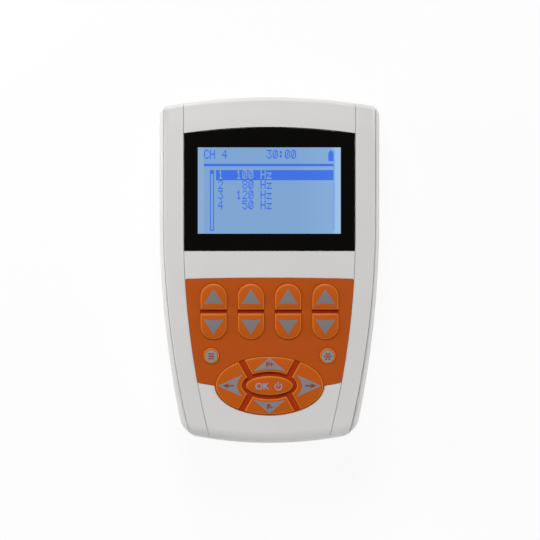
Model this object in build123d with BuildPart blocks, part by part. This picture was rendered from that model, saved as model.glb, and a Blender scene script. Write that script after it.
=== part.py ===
from build123d import *

import os
from math import asin, cos, degrees, radians, sin, sqrt, tan

# A handheld four-channel electrotherapy unit, lying on its back.
# X runs across the unit, Y from the foot end to the head end, and Z up out of the display.
# The origin is under the middle of the unit, on the plane that it rests on. Millimetres.

# Case, overall
body_length = 160.0
body_width = 102.0
front_depth = 5.5  # from the parting plane to the front face
wall = 2.2
floor_thickness = 2.4

# Plan outline: shallow arcs across the ends, sides straight at the head and drawn in below
head_arc_radius = 285.0
foot_arc_radius = 185.0
side_arc_radius = 470.0
side_arc_start = 25.0
head_corner_radius = 3.5
foot_corner_radius = 7.5

# Softened back and rim of the rear shell
back_facets = ((8.0, 1.3), (2.4, 1.9))  # height and width of each facet round the back
rim_round = 2.0  # the sides lean in by this much, over as much height, to meet the front cover

# Front cover
front_side_radius = 425.0  # side arc of the seam
head_edge_chamfer = 1.4
foot_edge_radius = 5.0
foot_facets = 3  # flats that make up the round of the foot edge
side_edge_chamfer = 0.7
skin_chamfer = 2.2
top_skin = 1.7
lip_depth = 1.6
lip_thickness = 1.2
lip_gap = 0.15
hook_places = (-8.0, 8.0)  # hooks under the foot end of the front cover
hook_width = 8.0
hook_depth = 1.6  # below the lip
hook_nose = 1.2
hook_reach = 0.9
hook_gap = 0.2

# Lines that divide the middle of the front from its side rails
rail_width = 11.3  # from the side of the case to the groove
groove_arc_start = 12.0
groove_arc_radius = 325.0
groove_width = 0.5
peg_width = 2.0
peg_length = 6.0
peg_gap = 0.1
peg_rows = (60.0, 5.0, -45.0)
peg_offset = 4.6  # from the groove to the pegs of the rail

# Display
window_thickness = 1.2
mask_thickness = 0.2
window_gap = 0.15
window_foot = 9.2
window_head = 66.2
window_arc_radius = 270.0
view_width = 66.6
view_height = 40.1
view_centre = 36.95
aperture_margin = 0.6
fit_gap = 0.2  # between pieces that drop into one another
gasket_thickness = 0.8
gasket_width = 3.0
glass_width = 74.0
glass_height = 46.0
glass_thickness = 2.2
backlight_thickness = 2.6
frame_sheet = 0.5
board_thickness = 1.6
lcd_board_margin = 1.2  # beside the display glass
lcd_board_foot = 8.0
lcd_board_head = 62.4
clip_rows = (20.0, 54.0)
clip_width = 6.0
clip_thickness = 1.2
clip_reach = 1.2
stop_reach = 0.3  # of the stops over the edge of the display board
clip_gap = 0.2

# Keypad
panel_margin = 0.8  # from the groove to the edge of the keypad
panel_head = -3.6
panel_foot = -52.8
panel_head_radius = 1500.0
panel_corner_radius = 1.2
panel_rise = 0.2  # how far the keypad stands above the front face
panel_gap = 0.15
mat_thickness = 1.2
mat_overlap = 1.8
key_gap = 0.35
nav_gap = 0.3  # around the keys of the navigation ring and the OK key
bar_depth = 1.4  # from the top of the keypad down to the bars between those keys
key_travel = 1.0
pill_thickness = 0.5
pill_width = 4.0
pill_depth = 3.0

# Channel keys: four pairs, each a slot with round ends cut in two
channel_count = 4
channel_side_room = 5.3  # from the groove to the first column's share of the width
channel_width = 12.3
channel_length = 25.9
channel_split = 2.1
channel_centre = -19.05
channel_rise = 1.2

# Round keys
round_key_room = 12.8  # from the groove to the middle of a round key
round_key_y = -39.5
round_key_radius = 3.75
round_key_rise = 0.7

# Navigation ring around the OK key
ring_centre = -53.2
ring_width = 49.8
ring_height = 26.8
ring_end_radius = 8.6
ring_margin = 0.5  # keypad outside the ring
ring_inner_width = 25.2
ring_inner_height = 12.5
ring_inner_end_radius = 3.6
ring_bar_width = 2.6
ring_bar_offset = 6.6
ring_bar_angle = 60.8
ring_rise = 0.9
ok_key_rise = 1.5
ok_key_width = 21.8
ok_key_height = 9.0
ok_key_end_radius = 2.4

# Battery bay in the rear shell: cells lie across the unit, side by side along it
cell_radius = 7.25
cell_length = 50.5
cell_count = 6
cell_gap = 0.1
cell_sides = 20  # flats round a cell
bay_foot_room = 11.05  # from the foot end of the case to the bay
bay_end_room = 0.5
bay_side_room = 1.75
bay_wall = 1.4
latch_room = 4.7
door_recess = 0.3
door_thickness = 1.7
door_seat = 1.2  # how far the door reaches under the wall of the bay
door_gap = 0.25
door_play = 0.1  # between the door and the wall that it closes against
tab_x = 16.0
tab_width = 8.0
tab_reach = 2.8
tab_thickness = 1.2
tab_root = 1.1
tab_gap = 0.2
tab_side_room = 0.4
tab_slot_height = 3.0
tab_slot_depth = 5.6
latch_width = 12.0
latch_thickness = 1.2
latch_height = 6.0
latch_span = 2.9
rib_count = 5
rib_pitch = 2.4
rib_width = 14.0
rib_thickness = 0.9
rib_height = 0.2
rib_start = 7.0  # from the latch to the first grip rib of the door
contact_thickness = 0.5
contact_width = 9.0
spring_width = 4.0

# Boards and what stands on them
board_inset = 7.0
board_gap = 0.6
main_board_head_room = 6.0  # from the ends of the case to the boards
main_board_foot_room = 23.0
key_board_head = 4.0
key_board_foot_room = 9.0
transformer_width = 13.0
transformer_height = 12.0
transformer_pitch = 20.0
transformer_y = 44.0
core_width = 5.0
core_side = 1.0
chip_width = 14.0
chip_height = 1.6
chip_y = -25.0
buzzer_width = 12.0
buzzer_height = 4.0
buzzer_x = 26.0
buzzer_y = -30.0
link_width = 26.0
link_depth = 5.0
key_link_y = -4.0
lcd_link_y = 60.0
lcd_link_height = 2.1  # from the main board up to the display board

# Connectors in the head end
connector_height = 7.6
nose_recess = 0.2
nose_gap = 0.2
output_pitch = 13.0
connector_room = 0.9  # between a case boss and the connector beside it
nose_cut_depth = 13.2
output_width = 10.0
output_length = 13.0
output_bore_radius = 1.8
output_bore_depth = 12.0
charge_width = 9.0
charge_length = 14.0
charge_bore_radius = 3.0
charge_bore_depth = 9.5
charge_pin_radius = 1.0
charge_pin_length = 8.5
charge_pin_root = 2.0  # staked in the socket, on a wider shoulder
charge_pin_root_radius = 1.5

# Screws and bosses
case_screw_side = 8.2  # from the side and from the head end of the case to a screw
case_screw_end = 10.5
case_boss_width = 8.4
case_boss_height = 24.0
front_boss_width = 6.8
boss_gap = 0.1
case_head_radius = 2.7
case_head_height = 2.4
case_head_seat = 16.0
case_shank_radius = 1.35
case_shank_length = 13.0
case_bore_radius = 3.0
case_hole_radius = 1.6
screw_fit = 0.05
shank_sides = 12  # flats round the shank of a screw and its holes
board_post_width = 5.0
board_post_room = 5.0  # from a case boss to the post that carries the main board
board_notch_gap = 0.5

# Places across the case
groove_half_width = body_width / 2 - rail_width
channel_pitch = 2 * (groove_half_width - channel_side_room) / channel_count
round_key_x = groove_half_width - round_key_room
case_screw_x = body_width / 2 - case_screw_side
case_screw_y = body_length / 2 - case_screw_end
case_screw_places = ((case_screw_x, case_screw_y), (-case_screw_x, case_screw_y))
board_post_y = case_screw_y - case_boss_width / 2 - board_post_room
board_post_places = ((case_screw_x - case_boss_width / 2, board_post_y),)
board_post_places += ((case_boss_width / 2 - case_screw_x, board_post_y),)
connector_reach = case_screw_x - case_boss_width / 2 - connector_room
output_x = [output_width / 2 - connector_reach + output * output_pitch for output in range(channel_count)]
charge_x = connector_reach - charge_width / 2
lcd_board_width = glass_width + 2 * lcd_board_margin

# Heights worked out from the stack of parts, from the battery bay up to the front face
cell_foot = door_recess + door_thickness + door_gap
bay_ceiling = cell_foot + 2 * cell_radius + door_gap
bay_top = bay_ceiling + bay_wall
main_board_foot_height = bay_top + board_gap
main_board_top = main_board_foot_height + board_thickness
connector_axis = main_board_foot_height - connector_height / 2
lcd_board_top = main_board_top + lcd_link_height + board_thickness
backlight_top = lcd_board_top + backlight_thickness
glass_top = backlight_top + glass_thickness
frame_top = glass_top + frame_sheet
ceiling = frame_top + gasket_thickness
seat_height = ceiling + top_skin
trim_thickness = window_thickness + mask_thickness
front_face = seat_height + trim_thickness
rear_depth = front_face - front_depth  # from the rear face to the parting plane
key_board_top = ceiling - mat_thickness
panel_top = front_face + panel_rise
pill_foot = key_board_top + key_travel
key_foot = pill_foot + pill_thickness

# Battery bay, seen from above
cell_pitch = 2 * cell_radius + cell_gap
bay_width = cell_length + 2 * bay_side_room
cells_length = cell_count * cell_pitch
bay_foot = bay_foot_room - body_length / 2
bay_head = bay_foot + cells_length + 2 * bay_end_room + latch_room
cells_centre = bay_head - bay_end_room - cells_length / 2
cell_rows = [cells_centre + (row - (cell_count - 1) / 2) * cell_pitch for row in range(cell_count)]

strip_reach = body_length / 2 + 5
foot_inside = body_length / 2 - wall - lip_gap  # how far the lip reaches towards the foot
side_inset_inside = rim_round + wall

os.makedirs("parts", exist_ok=True)


def save(piece, name):
    """Labels a finished piece and writes it as its own file."""
    piece.part.label = name
    export_step(piece.part, f"parts/{name}.step")


def strip(height, half_width, arc_start, arc_radius):
    """A strip along Y, straight above arc_start and drawn in below it by an arc on each side."""
    turn = degrees(asin((arc_start + strip_reach) / arc_radius))
    with BuildSketch(Plane.XY.offset(height)) as outline:
        with BuildLine():
            head = Line((0, strip_reach), (half_width, strip_reach))
            Line(head @ 1, (half_width, arc_start))
            draw = CenterArc((half_width - arc_radius, arc_start), arc_radius, 0, -turn)
            Line(draw @ 1, (0, -strip_reach))
            mirror(about=Plane.YZ)
        make_face()
    return outline.sketch


def plan(height, side_inset, end_inset, side_radius, head_corner, foot_corner):
    """The outline of the case in plan at a height, moved in at the sides and at the ends."""
    with BuildSketch(Plane.XY.offset(height)) as outline:
        with Locations((0, body_length / 2 - head_arc_radius)):
            Circle(head_arc_radius - end_inset)
        with Locations((0, foot_arc_radius - body_length / 2)):
            Circle(foot_arc_radius - end_inset, mode=Mode.INTERSECT)
        add(strip(0, body_width / 2 - side_inset, side_arc_start, side_radius), mode=Mode.INTERSECT)
        if head_corner:
            fillet(outline.vertices().group_by(Axis.Y)[-1], head_corner)
            fillet(outline.vertices().group_by(Axis.Y)[0], foot_corner)
    return outline.sketch


def case_outline(height):
    """The outline of the whole case, with its round corners."""
    return plan(height, 0, 0, side_arc_radius, head_corner_radius, foot_corner_radius)


def inside(height, gap):
    """The outline of the hollow of the case, moved in by a gap."""
    return plan(
        height,
        side_inset_inside + gap,
        wall + gap,
        front_side_radius - wall - gap,
        None,
        None,
    )


def head_end(x):
    """Y of the head end's outer face at a distance x from the middle."""
    return body_length / 2 - head_arc_radius + sqrt(head_arc_radius**2 - x**2)


def post(places, radius, foot, top, mode=Mode.ADD):
    """Upright cylinders in the current part, between two heights."""
    with Locations(*[(x, y, foot) for x, y in places]):
        Cylinder(radius, top - foot, align=(Align.CENTER, Align.CENTER, Align.MIN), mode=mode)


def shank(radius, foot, top, mode=Mode.ADD):
    """The shanks of the case screws, or their holes, in flats."""
    with BuildSketch(Plane.XY.offset(foot)) as outline:
        with Locations(*case_screw_places):
            RegularPolygon(radius, shank_sides)
    extrude(outline.sketch, amount=top - foot, mode=mode)


def column(places, width, foot, top, mode=Mode.ADD):
    """Square columns in the current part, between two heights."""
    with Locations(*[(x, y, foot) for x, y in places]):
        Box(width, width, top - foot, align=(Align.CENTER, Align.CENTER, Align.MIN), mode=mode)


# Hollow of the rear shell, around the battery bay, the bosses and the posts
bay_box_width = bay_width + 2 * bay_wall
bay_box_length = bay_head - bay_foot + 2 * bay_wall
bay_middle = (bay_head + bay_foot) / 2
with BuildPart() as rear_hollow:
    extrude(inside(floor_thickness, 0), amount=rear_depth - floor_thickness)
    with Locations((0, bay_middle, 0)):
        Box(
            bay_box_width,
            bay_box_length,
            bay_top,
            align=(Align.CENTER, Align.CENTER, Align.MIN),
            mode=Mode.SUBTRACT,
        )
    column(case_screw_places, case_boss_width, 0, case_boss_height, Mode.SUBTRACT)
    column(board_post_places, board_post_width, 0, main_board_foot_height, Mode.SUBTRACT)

# What the rim of the rear shell loses where its sides lean in to the front cover
with BuildPart() as rim_cut:
    with Locations((0, 0, rear_depth - rim_round)):
        Box(
            2 * body_width,
            2 * body_length,
            rim_round,
            align=(Align.CENTER, Align.CENTER, Align.MIN),
        )
    rim_foot = strip(rear_depth - rim_round, body_width / 2, side_arc_start, side_arc_radius)
    rim_head = strip(rear_depth, body_width / 2 - rim_round, side_arc_start, front_side_radius)
    loft([rim_foot, rim_head], ruled=True, mode=Mode.SUBTRACT)
    with Locations((0, 0, rear_depth - rim_round)):
        Box(
            2 * body_width,
            body_length + 2 * rim_round,
            rim_round,
            align=(Align.CENTER, Align.CENTER, Align.MIN),
            mode=Mode.INTERSECT,
        )

# Rear shell
door_width = bay_width + 2 * (door_seat - door_gap)
door_length = bay_head - bay_foot + 2 * (door_seat - door_gap)
connector_places = [(x, output_width) for x in output_x] + [(charge_x, charge_width)]
with BuildPart() as rear_shell:
    extrude(case_outline(0), amount=rear_depth)
    for height, width in back_facets:
        back = rear_shell.faces().sort_by(Axis.Z)[0]
        chamfer(back.edges(), width, height, reference=back)
    add(rim_cut.part, mode=Mode.SUBTRACT)
    add(rear_hollow.part, mode=Mode.SUBTRACT)
    # battery bay and the recess of its door
    with Locations((0, bay_middle, 0)):
        Box(
            bay_width,
            bay_head - bay_foot,
            bay_ceiling,
            align=(Align.CENTER, Align.CENTER, Align.MIN),
            mode=Mode.SUBTRACT,
        )
        Box(
            door_width + 2 * door_gap,
            door_length + 2 * door_gap,
            door_recess + door_thickness + door_play,
            align=(Align.CENTER, Align.CENTER, Align.MIN),
            mode=Mode.SUBTRACT,
        )
    # slots for the tabs of the door
    with Locations(*[(x, bay_head, floor_thickness) for x in (-tab_x, tab_x)]):
        Box(
            tab_width + 2 * tab_side_room,
            tab_slot_depth,
            tab_slot_height,
            align=(Align.CENTER, Align.CENTER, Align.MIN),
            mode=Mode.SUBTRACT,
        )
    # case screws from the back
    post(case_screw_places, case_bore_radius, 0, case_head_seat, Mode.SUBTRACT)
    shank(case_hole_radius, case_head_seat, case_boss_height, Mode.SUBTRACT)
    # slots for the hooks of the front cover, in the wall of the foot end
    slot_foot = rear_depth - lip_depth - hook_depth - hook_gap
    with Locations(*[(x, wall - body_length / 2, slot_foot) for x in hook_places]):
        Box(
            hook_width + 2 * hook_gap,
            2 * (hook_reach + hook_gap),
            hook_nose + 2 * hook_gap,
            align=(Align.CENTER, Align.CENTER, Align.MIN),
            mode=Mode.SUBTRACT,
        )
    # connectors in the head end
    for x, width in connector_places:
        with Locations((x, body_length / 2, connector_axis)):
            Box(
                width + 2 * nose_gap,
                nose_cut_depth,
                connector_height + 2 * nose_gap,
                mode=Mode.SUBTRACT,
            )
save(rear_shell, "rear_shell")

# Battery door: a plate with two tabs at its head end and a spring latch at its foot end
door_head = bay_head + door_seat - door_gap
door_foot = bay_foot - door_seat + door_gap
door_top = door_recess + door_thickness
tab_foot = floor_thickness + tab_gap
tab_back = bay_head - tab_gap - tab_root
latch_outer = bay_foot + bay_end_room + latch_thickness / 2
latch_inner = latch_outer + latch_span
with BuildPart() as battery_door:
    with Locations((0, bay_middle, door_recess)):
        Box(
            door_width,
            door_length,
            door_thickness,
            align=(Align.CENTER, Align.CENTER, Align.MIN),
        )
    fillet(battery_door.edges().filter_by(Axis.Z), door_seat)
    # notch that the latch springs in
    with Locations((0, door_foot, door_recess)):
        Box(
            latch_width + 2 * door_gap,
            2 * (latch_inner - latch_thickness / 2 - door_foot),
            door_thickness,
            align=(Align.CENTER, Align.CENTER, Align.MIN),
            mode=Mode.SUBTRACT,
        )
    # tabs that reach over the floor of the shell
    with Locations(*[(x, tab_back, door_top) for x in (-tab_x, tab_x)]):
        Box(
            tab_width,
            tab_root,
            tab_foot + tab_thickness - door_top,
            align=(Align.CENTER, Align.MIN, Align.MIN),
        )
    with Locations(*[(x, tab_back, tab_foot) for x in (-tab_x, tab_x)]):
        Box(
            tab_width,
            door_head + tab_reach - tab_back,
            tab_thickness,
            align=(Align.CENTER, Align.MIN, Align.MIN),
        )
    # latch: a strip that rises inside the bay and turns back down to a finger pad
    latch_crown = door_top + latch_height
    with BuildSketch(Plane.YZ.offset(-latch_width / 2)) as latch_strip:
        with BuildLine():
            Polyline(
                (latch_inner, door_recess + door_thickness / 2),
                (latch_inner, latch_crown),
                (latch_outer, latch_crown),
                (latch_outer, door_recess + door_thickness / 2),
                (door_foot, door_recess + door_thickness / 2),
            )
        trace(line_width=latch_thickness)
    extrude(amount=latch_width)
    # grip ribs beside the latch
    rib_rows = [latch_inner + rib_start + row * rib_pitch for row in range(rib_count)]
    with Locations(*[(0, y, door_recess) for y in rib_rows]):
        Box(rib_width, rib_thickness, rib_height, align=(Align.CENTER, Align.CENTER, Align.MAX))
save(battery_door, "battery_door")


def front_block(skin):
    """The front cover before its ends are rounded, moved in by a skin at its face and ends."""
    outline = plan(rear_depth, rim_round, skin, front_side_radius, None, None)
    with BuildPart() as block:
        extrude(outline, amount=front_depth - skin)
    return block.part


def end_edge(block, end):
    """The arched edge of the front face at the foot end (0) or at the head end (-1)."""
    return block.faces().sort_by(Axis.Z)[-1].edges().sort_by(Axis.Y)[end]


def round_foot(block):
    """Rounds the arched edge at the foot end in flats whose corners lie on the round."""
    reached = 0.0
    for flat in range(foot_facets):
        start = radians(90 * flat / foot_facets)
        end = radians(90 * (flat + 1) / foot_facets)
        middle_turn = (start + end) / 2
        inset = foot_edge_radius * (1 - cos(start))
        drop = foot_edge_radius * (1 - sin(start))
        meets = inset + drop * tan(middle_turn)
        face = block.faces().sort_by(Axis.Z)[-1]
        chamfer(
            end_edge(block, 0), meets - reached, sqrt((meets - inset) ** 2 + drop**2), reference=face
        )
        reached = meets


def middle(height, inset):
    """The strip between the two grooves, moved in by an inset."""
    return strip(height, groove_half_width - inset, groove_arc_start, groove_arc_radius - inset)


def window_outline(height, gap):
    """The display window: as wide as the strip between the grooves, under an arched head."""
    with BuildSketch(Plane.XY.offset(height)) as outline:
        add(middle(0, groove_width / 2 + window_gap - gap))
        with Locations((0, window_foot - gap)):
            Rectangle(
                body_width, body_length, align=(Align.CENTER, Align.MIN), mode=Mode.INTERSECT
            )
        with Locations((0, window_head - window_arc_radius)):
            Circle(window_arc_radius + gap, mode=Mode.INTERSECT)
    return outline.sketch


def oval(width, length, end_radius, grow):
    """An oval of four arcs about the middle of the navigation ring, larger all round by grow."""
    across = width / 2
    along = length / 2
    side_radius = (across**2 + along**2 - 2 * across * end_radius) / (2 * (along - end_radius))
    end_turn = degrees(asin((side_radius - along) / (side_radius - end_radius)))
    end_centre = across - end_radius
    side_centre = side_radius - along
    with BuildSketch() as outline:
        with BuildLine():
            for side, turn in ((1, 0), (-1, 180)):
                CenterArc(
                    (side * end_centre, ring_centre),
                    end_radius + grow,
                    turn - end_turn,
                    2 * end_turn,
                )
                CenterArc(
                    (0, ring_centre - side * side_centre),
                    side_radius + grow,
                    turn + end_turn,
                    180 - 2 * end_turn,
                )
        make_face()
    return outline.sketch


def ring_oval(grow):
    """The outer edge of the navigation ring, larger by grow."""
    return oval(ring_width, ring_height, ring_end_radius, grow)


def keypad_outline(height, grow):
    """The keypad: follows the grooves above and ends in the round of the navigation keys."""
    inset = panel_margin - grow
    with BuildSketch(Plane.XY.offset(height)) as outline:
        add(middle(0, inset))
        with Locations((0, panel_foot - grow)):
            Rectangle(
                body_width, body_length, align=(Align.CENTER, Align.MIN), mode=Mode.INTERSECT
            )
        with Locations((0, panel_head - panel_head_radius)):
            Circle(panel_head_radius + grow, mode=Mode.INTERSECT)
        fillet(outline.vertices().group_by(Axis.Y)[-1], panel_corner_radius)
        fillet(outline.vertices().group_by(Axis.Y)[0], panel_corner_radius)
        add(ring_oval(ring_margin + grow))
    return outline.sketch


# Hollow of the front cover, around the bosses for the screws
with BuildPart() as front_hollow:
    extrude(inside(rear_depth, lip_gap + lip_thickness), amount=ceiling - rear_depth)
    column(case_screw_places, front_boss_width, rear_depth, ceiling, Mode.SUBTRACT)

# Front cover: a skin under the side rails, and the full height between the grooves
with BuildPart() as outer_form:
    add(front_block(0))
    chamfer(end_edge(outer_form, -1), head_edge_chamfer)
    round_foot(outer_form)

with BuildPart() as skin_form:
    add(front_block(trim_thickness))
    chamfer(end_edge(skin_form, 0), skin_chamfer)

with BuildPart() as middle_form:
    add(outer_form.part)
    extrude(middle(rear_depth, groove_width / 2), amount=front_depth, mode=Mode.INTERSECT)

peg_places = []
for y in peg_rows:
    drop = max(groove_arc_start - y, 0)
    groove_x = groove_half_width - groove_arc_radius + sqrt(groove_arc_radius**2 - drop**2)
    peg_places.append((groove_x + peg_offset, y))
with BuildPart() as front_shell:
    add(skin_form.part)
    add(middle_form.part)
    extrude(case_outline(rear_depth), amount=front_depth, mode=Mode.INTERSECT)
    # pocket of the display window, and the opening over the display
    extrude(window_outline(seat_height, window_gap), amount=trim_thickness, mode=Mode.SUBTRACT)
    add(front_hollow.part, mode=Mode.SUBTRACT)
    with Locations((0, view_centre, ceiling)):
        Box(
            view_width + 2 * aperture_margin,
            view_height + 2 * aperture_margin,
            top_skin,
            align=(Align.CENTER, Align.CENTER, Align.MIN),
            mode=Mode.SUBTRACT,
        )
    # opening of the keypad
    extrude(keypad_outline(ceiling, panel_gap), amount=front_face - ceiling, mode=Mode.SUBTRACT)
    # lip that reaches down into the rear shell
    extrude(inside(rear_depth - lip_depth, lip_gap), amount=lip_depth)
    extrude(
        inside(rear_depth - lip_depth, lip_gap + lip_thickness),
        amount=lip_depth,
        mode=Mode.SUBTRACT,
    )
    # hooks at the foot end, each a leg below the lip with a nose that points outwards
    hook_foot = rear_depth - lip_depth - hook_depth
    with Locations(*[(x, lip_thickness - foot_inside, hook_foot) for x in hook_places]):
        Box(
            hook_width,
            lip_thickness,
            lip_depth + hook_depth,
            align=(Align.CENTER, Align.MAX, Align.MIN),
        )
    with Locations(*[(x, lip_thickness - foot_inside, hook_foot) for x in hook_places]):
        Box(
            hook_width,
            lip_thickness + lip_gap + hook_reach,
            hook_nose,
            align=(Align.CENTER, Align.MAX, Align.MIN),
        )
    # bosses and their screw holes
    column(case_screw_places, front_boss_width, case_boss_height + boss_gap, rear_depth)
    # stops above the display board, and the clips that hold it from below
    for side in (-1, 1):
        near = Align.MIN if side > 0 else Align.MAX
        stop_x = side * (lcd_board_width / 2 - stop_reach)
        with Locations(*[(stop_x, y, lcd_board_top) for y in clip_rows]):
            Box(
                stop_reach + clip_gap + clip_thickness,
                clip_width,
                ceiling - lcd_board_top,
                align=(near, Align.CENTER, Align.MIN),
            )
        clip_x = side * (lcd_board_width / 2 + clip_gap)
        clip_foot = lcd_board_top - board_thickness - clip_gap - clip_thickness
        with Locations(*[(clip_x, y, clip_foot) for y in clip_rows]):
            Box(
                clip_thickness,
                clip_width,
                lcd_board_top - clip_foot,
                align=(near, Align.CENTER, Align.MIN),
            )
        with Locations(*[(clip_x + side * clip_thickness, y, clip_foot) for y in clip_rows]):
            Box(
                clip_thickness + clip_reach,
                clip_width,
                clip_thickness,
                align=(Align.MAX if side > 0 else Align.MIN, Align.CENTER, Align.MIN),
            )
    shank(case_shank_radius + screw_fit, case_boss_height + boss_gap, ceiling, Mode.SUBTRACT)
    # slots for the pegs of the side rails
    with Locations(*[(side * x, y, ceiling) for x, y in peg_places for side in (-1, 1)]):
        Box(
            peg_width + 2 * peg_gap,
            peg_length + 2 * peg_gap,
            top_skin,
            align=(Align.CENTER, Align.CENTER, Align.MIN),
            mode=Mode.SUBTRACT,
        )
save(front_shell, "front_shell")


# Side rails: strips that lie on the skin beside the middle, held by pegs
for side, name in ((-1, "left_side_trim"), (1, "right_side_trim")):
    with BuildPart() as side_trim:
        add(outer_form.part)
        face_edges = side_trim.faces().sort_by(Axis.Z)[-1].edges()
        chamfer(face_edges.sort_by(SortBy.LENGTH)[:4], side_edge_chamfer)
        extrude(case_outline(rear_depth), amount=front_depth, mode=Mode.INTERSECT)
        add(skin_form.part, mode=Mode.SUBTRACT)
        extrude(middle(rear_depth, -groove_width / 2), amount=front_depth, mode=Mode.SUBTRACT)
        with Locations((side * body_width / 2, 0, rear_depth)):
            Box(
                body_width,
                2 * body_length,
                2 * front_depth,
                mode=Mode.INTERSECT,
            )
        with Locations(*[(side * x, y, ceiling) for x, y in peg_places]):
            Box(peg_width, peg_length, top_skin, align=(Align.CENTER, Align.CENTER, Align.MIN))
    save(side_trim, name)

# Display window and the printed mask behind it
with BuildPart() as display_window:
    extrude(window_outline(seat_height + mask_thickness, 0), amount=window_thickness)
save(display_window, "display_window")

with BuildPart() as display_mask:
    extrude(window_outline(seat_height, 0), amount=mask_thickness)
    with Locations((0, view_centre, seat_height)):
        Box(view_width, view_height, 2 * mask_thickness, mode=Mode.SUBTRACT)
save(display_mask, "display_mask")


def frame_plate(width, height, hole_width, hole_height, foot, top):
    """A rectangular plate around the display's view, with or without a hole."""
    with BuildPart() as plate:
        with BuildSketch(Plane.XY.offset(foot)):
            with Locations((0, view_centre)):
                Rectangle(width, height)
                if hole_width:
                    Rectangle(hole_width, hole_height, mode=Mode.SUBTRACT)
        extrude(amount=top - foot)
    return plate


# Display module, from the gasket down to its board
aperture_width = view_width + 2 * aperture_margin
aperture_height = view_height + 2 * aperture_margin
display_gasket = frame_plate(
    aperture_width + 2 * gasket_width,
    aperture_height + 2 * gasket_width,
    aperture_width,
    aperture_height,
    frame_top,
    ceiling,
)
save(display_gasket, "display_gasket")

frame_width = glass_width + 2 * (frame_sheet + fit_gap)
frame_height = glass_height + 2 * (frame_sheet + fit_gap)
with BuildPart() as lcd_frame:
    with Locations((0, view_centre, lcd_board_top)):
        Box(
            frame_width,
            frame_height,
            frame_top - lcd_board_top,
            align=(Align.CENTER, Align.CENTER, Align.MIN),
        )
        Box(
            frame_width - 2 * frame_sheet,
            frame_height - 2 * frame_sheet,
            glass_top - lcd_board_top,
            align=(Align.CENTER, Align.CENTER, Align.MIN),
            mode=Mode.SUBTRACT,
        )
        Box(
            aperture_width,
            aperture_height,
            2 * (frame_top - lcd_board_top),
            align=(Align.CENTER, Align.CENTER, Align.MIN),
            mode=Mode.SUBTRACT,
        )
save(lcd_frame, "lcd_frame")

lcd_glass = frame_plate(glass_width, glass_height, 0, 0, backlight_top, glass_top)
save(lcd_glass, "lcd_glass")

lcd_backlight = frame_plate(glass_width, glass_height, 0, 0, lcd_board_top, backlight_top)
save(lcd_backlight, "lcd_backlight")

with BuildPart() as lcd_board:
    with Locations((0, lcd_board_foot, lcd_board_top - board_thickness)):
        Box(
            lcd_board_width,
            lcd_board_head - lcd_board_foot,
            board_thickness,
            align=(Align.CENTER, Align.MIN, Align.MIN),
        )
save(lcd_board, "lcd_board")

# Outlines of the keys, grown by a gap where they are holes in the keypad
channel_columns = [
    (place - (channel_count - 1) / 2) * channel_pitch for place in range(channel_count)
]


def channel_outline(height, x, grow):
    """A pair of channel keys, before it is split."""
    with BuildSketch(Plane.XY.offset(height)) as outline:
        with Locations((x, channel_centre)):
            SlotOverall(channel_length + 2 * grow, channel_width + 2 * grow, rotation=90)
    return outline.sketch


def round_outline(height, side, grow):
    """One of the round keys."""
    with BuildSketch(Plane.XY.offset(height)) as outline:
        with Locations((side * round_key_x, round_key_y)):
            Circle(round_key_radius + grow)
    return outline.sketch


def ok_outline(height, grow):
    """The key in the middle of the navigation ring, or the opening that is larger by grow."""
    with BuildSketch(Plane.XY.offset(height)) as outline:
        add(oval(ok_key_width, ok_key_height, ok_key_end_radius, grow))
    return outline.sketch


def ring_outline(height, grow):
    """The four keys of the navigation ring, an oval band cut by four slanting bars."""
    with BuildSketch(Plane.XY.offset(height)) as outline:
        add(ring_oval(grow))
        inner = oval(ring_inner_width, ring_inner_height, ring_inner_end_radius, -grow)
        add(inner, mode=Mode.SUBTRACT)
        for across in (-1, 1):
            for along in (-1, 1):
                with Locations((across * ring_bar_offset, ring_centre)):
                    Rectangle(
                        ring_width,
                        ring_bar_width - 2 * grow,
                        rotation=across * along * ring_bar_angle + (0 if across > 0 else 180),
                        align=(Align.MIN, Align.CENTER),
                        mode=Mode.SUBTRACT,
                    )
    return outline.sketch


# Keypad: a silicone mat with a raised panel, open around each key
flange_head = panel_head + mat_overlap
flange_foot = ring_centre - ring_height / 2 - ring_margin - mat_overlap
with BuildPart() as keypad_mat:
    with BuildSketch(Plane.XY.offset(key_board_top)):
        add(middle(0, panel_margin - mat_overlap))
        with Locations((0, flange_foot)):
            Rectangle(
                body_width,
                flange_head - flange_foot,
                align=(Align.CENTER, Align.MIN),
                mode=Mode.INTERSECT,
            )
    extrude(amount=mat_thickness)
    extrude(keypad_outline(ceiling, 0), amount=panel_top - ceiling)
    mat_depth = panel_top - key_board_top
    for x in channel_columns:
        extrude(channel_outline(key_board_top, x, key_gap), amount=mat_depth, mode=Mode.SUBTRACT)
    for side in (-1, 1):
        extrude(round_outline(key_board_top, side, key_gap), amount=mat_depth, mode=Mode.SUBTRACT)
    # the bars of the mat between the navigation keys lie below the panel
    extrude(ring_outline(key_board_top, nav_gap), amount=mat_depth, mode=Mode.SUBTRACT)
    extrude(ok_outline(key_board_top, nav_gap), amount=mat_depth, mode=Mode.SUBTRACT)
    with BuildSketch(Plane.XY.offset(panel_top - bar_depth)):
        add(ring_oval(nav_gap))
    extrude(amount=bar_depth, mode=Mode.SUBTRACT)
save(keypad_mat, "keypad_mat")


def key(outline, rise):
    """A key raised from its outline to a height above the front face."""
    with BuildPart() as cap:
        extrude(outline, amount=front_face + rise - key_foot)
    return cap


def pill(x, y):
    """A conductive pill under a key, which closes the contact on the board."""
    with BuildPart() as pad:
        with Locations((x, y, pill_foot)):
            Box(
                pill_width,
                pill_depth,
                pill_thickness,
                align=(Align.CENTER, Align.CENTER, Align.MIN),
            )
    return pad


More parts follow.
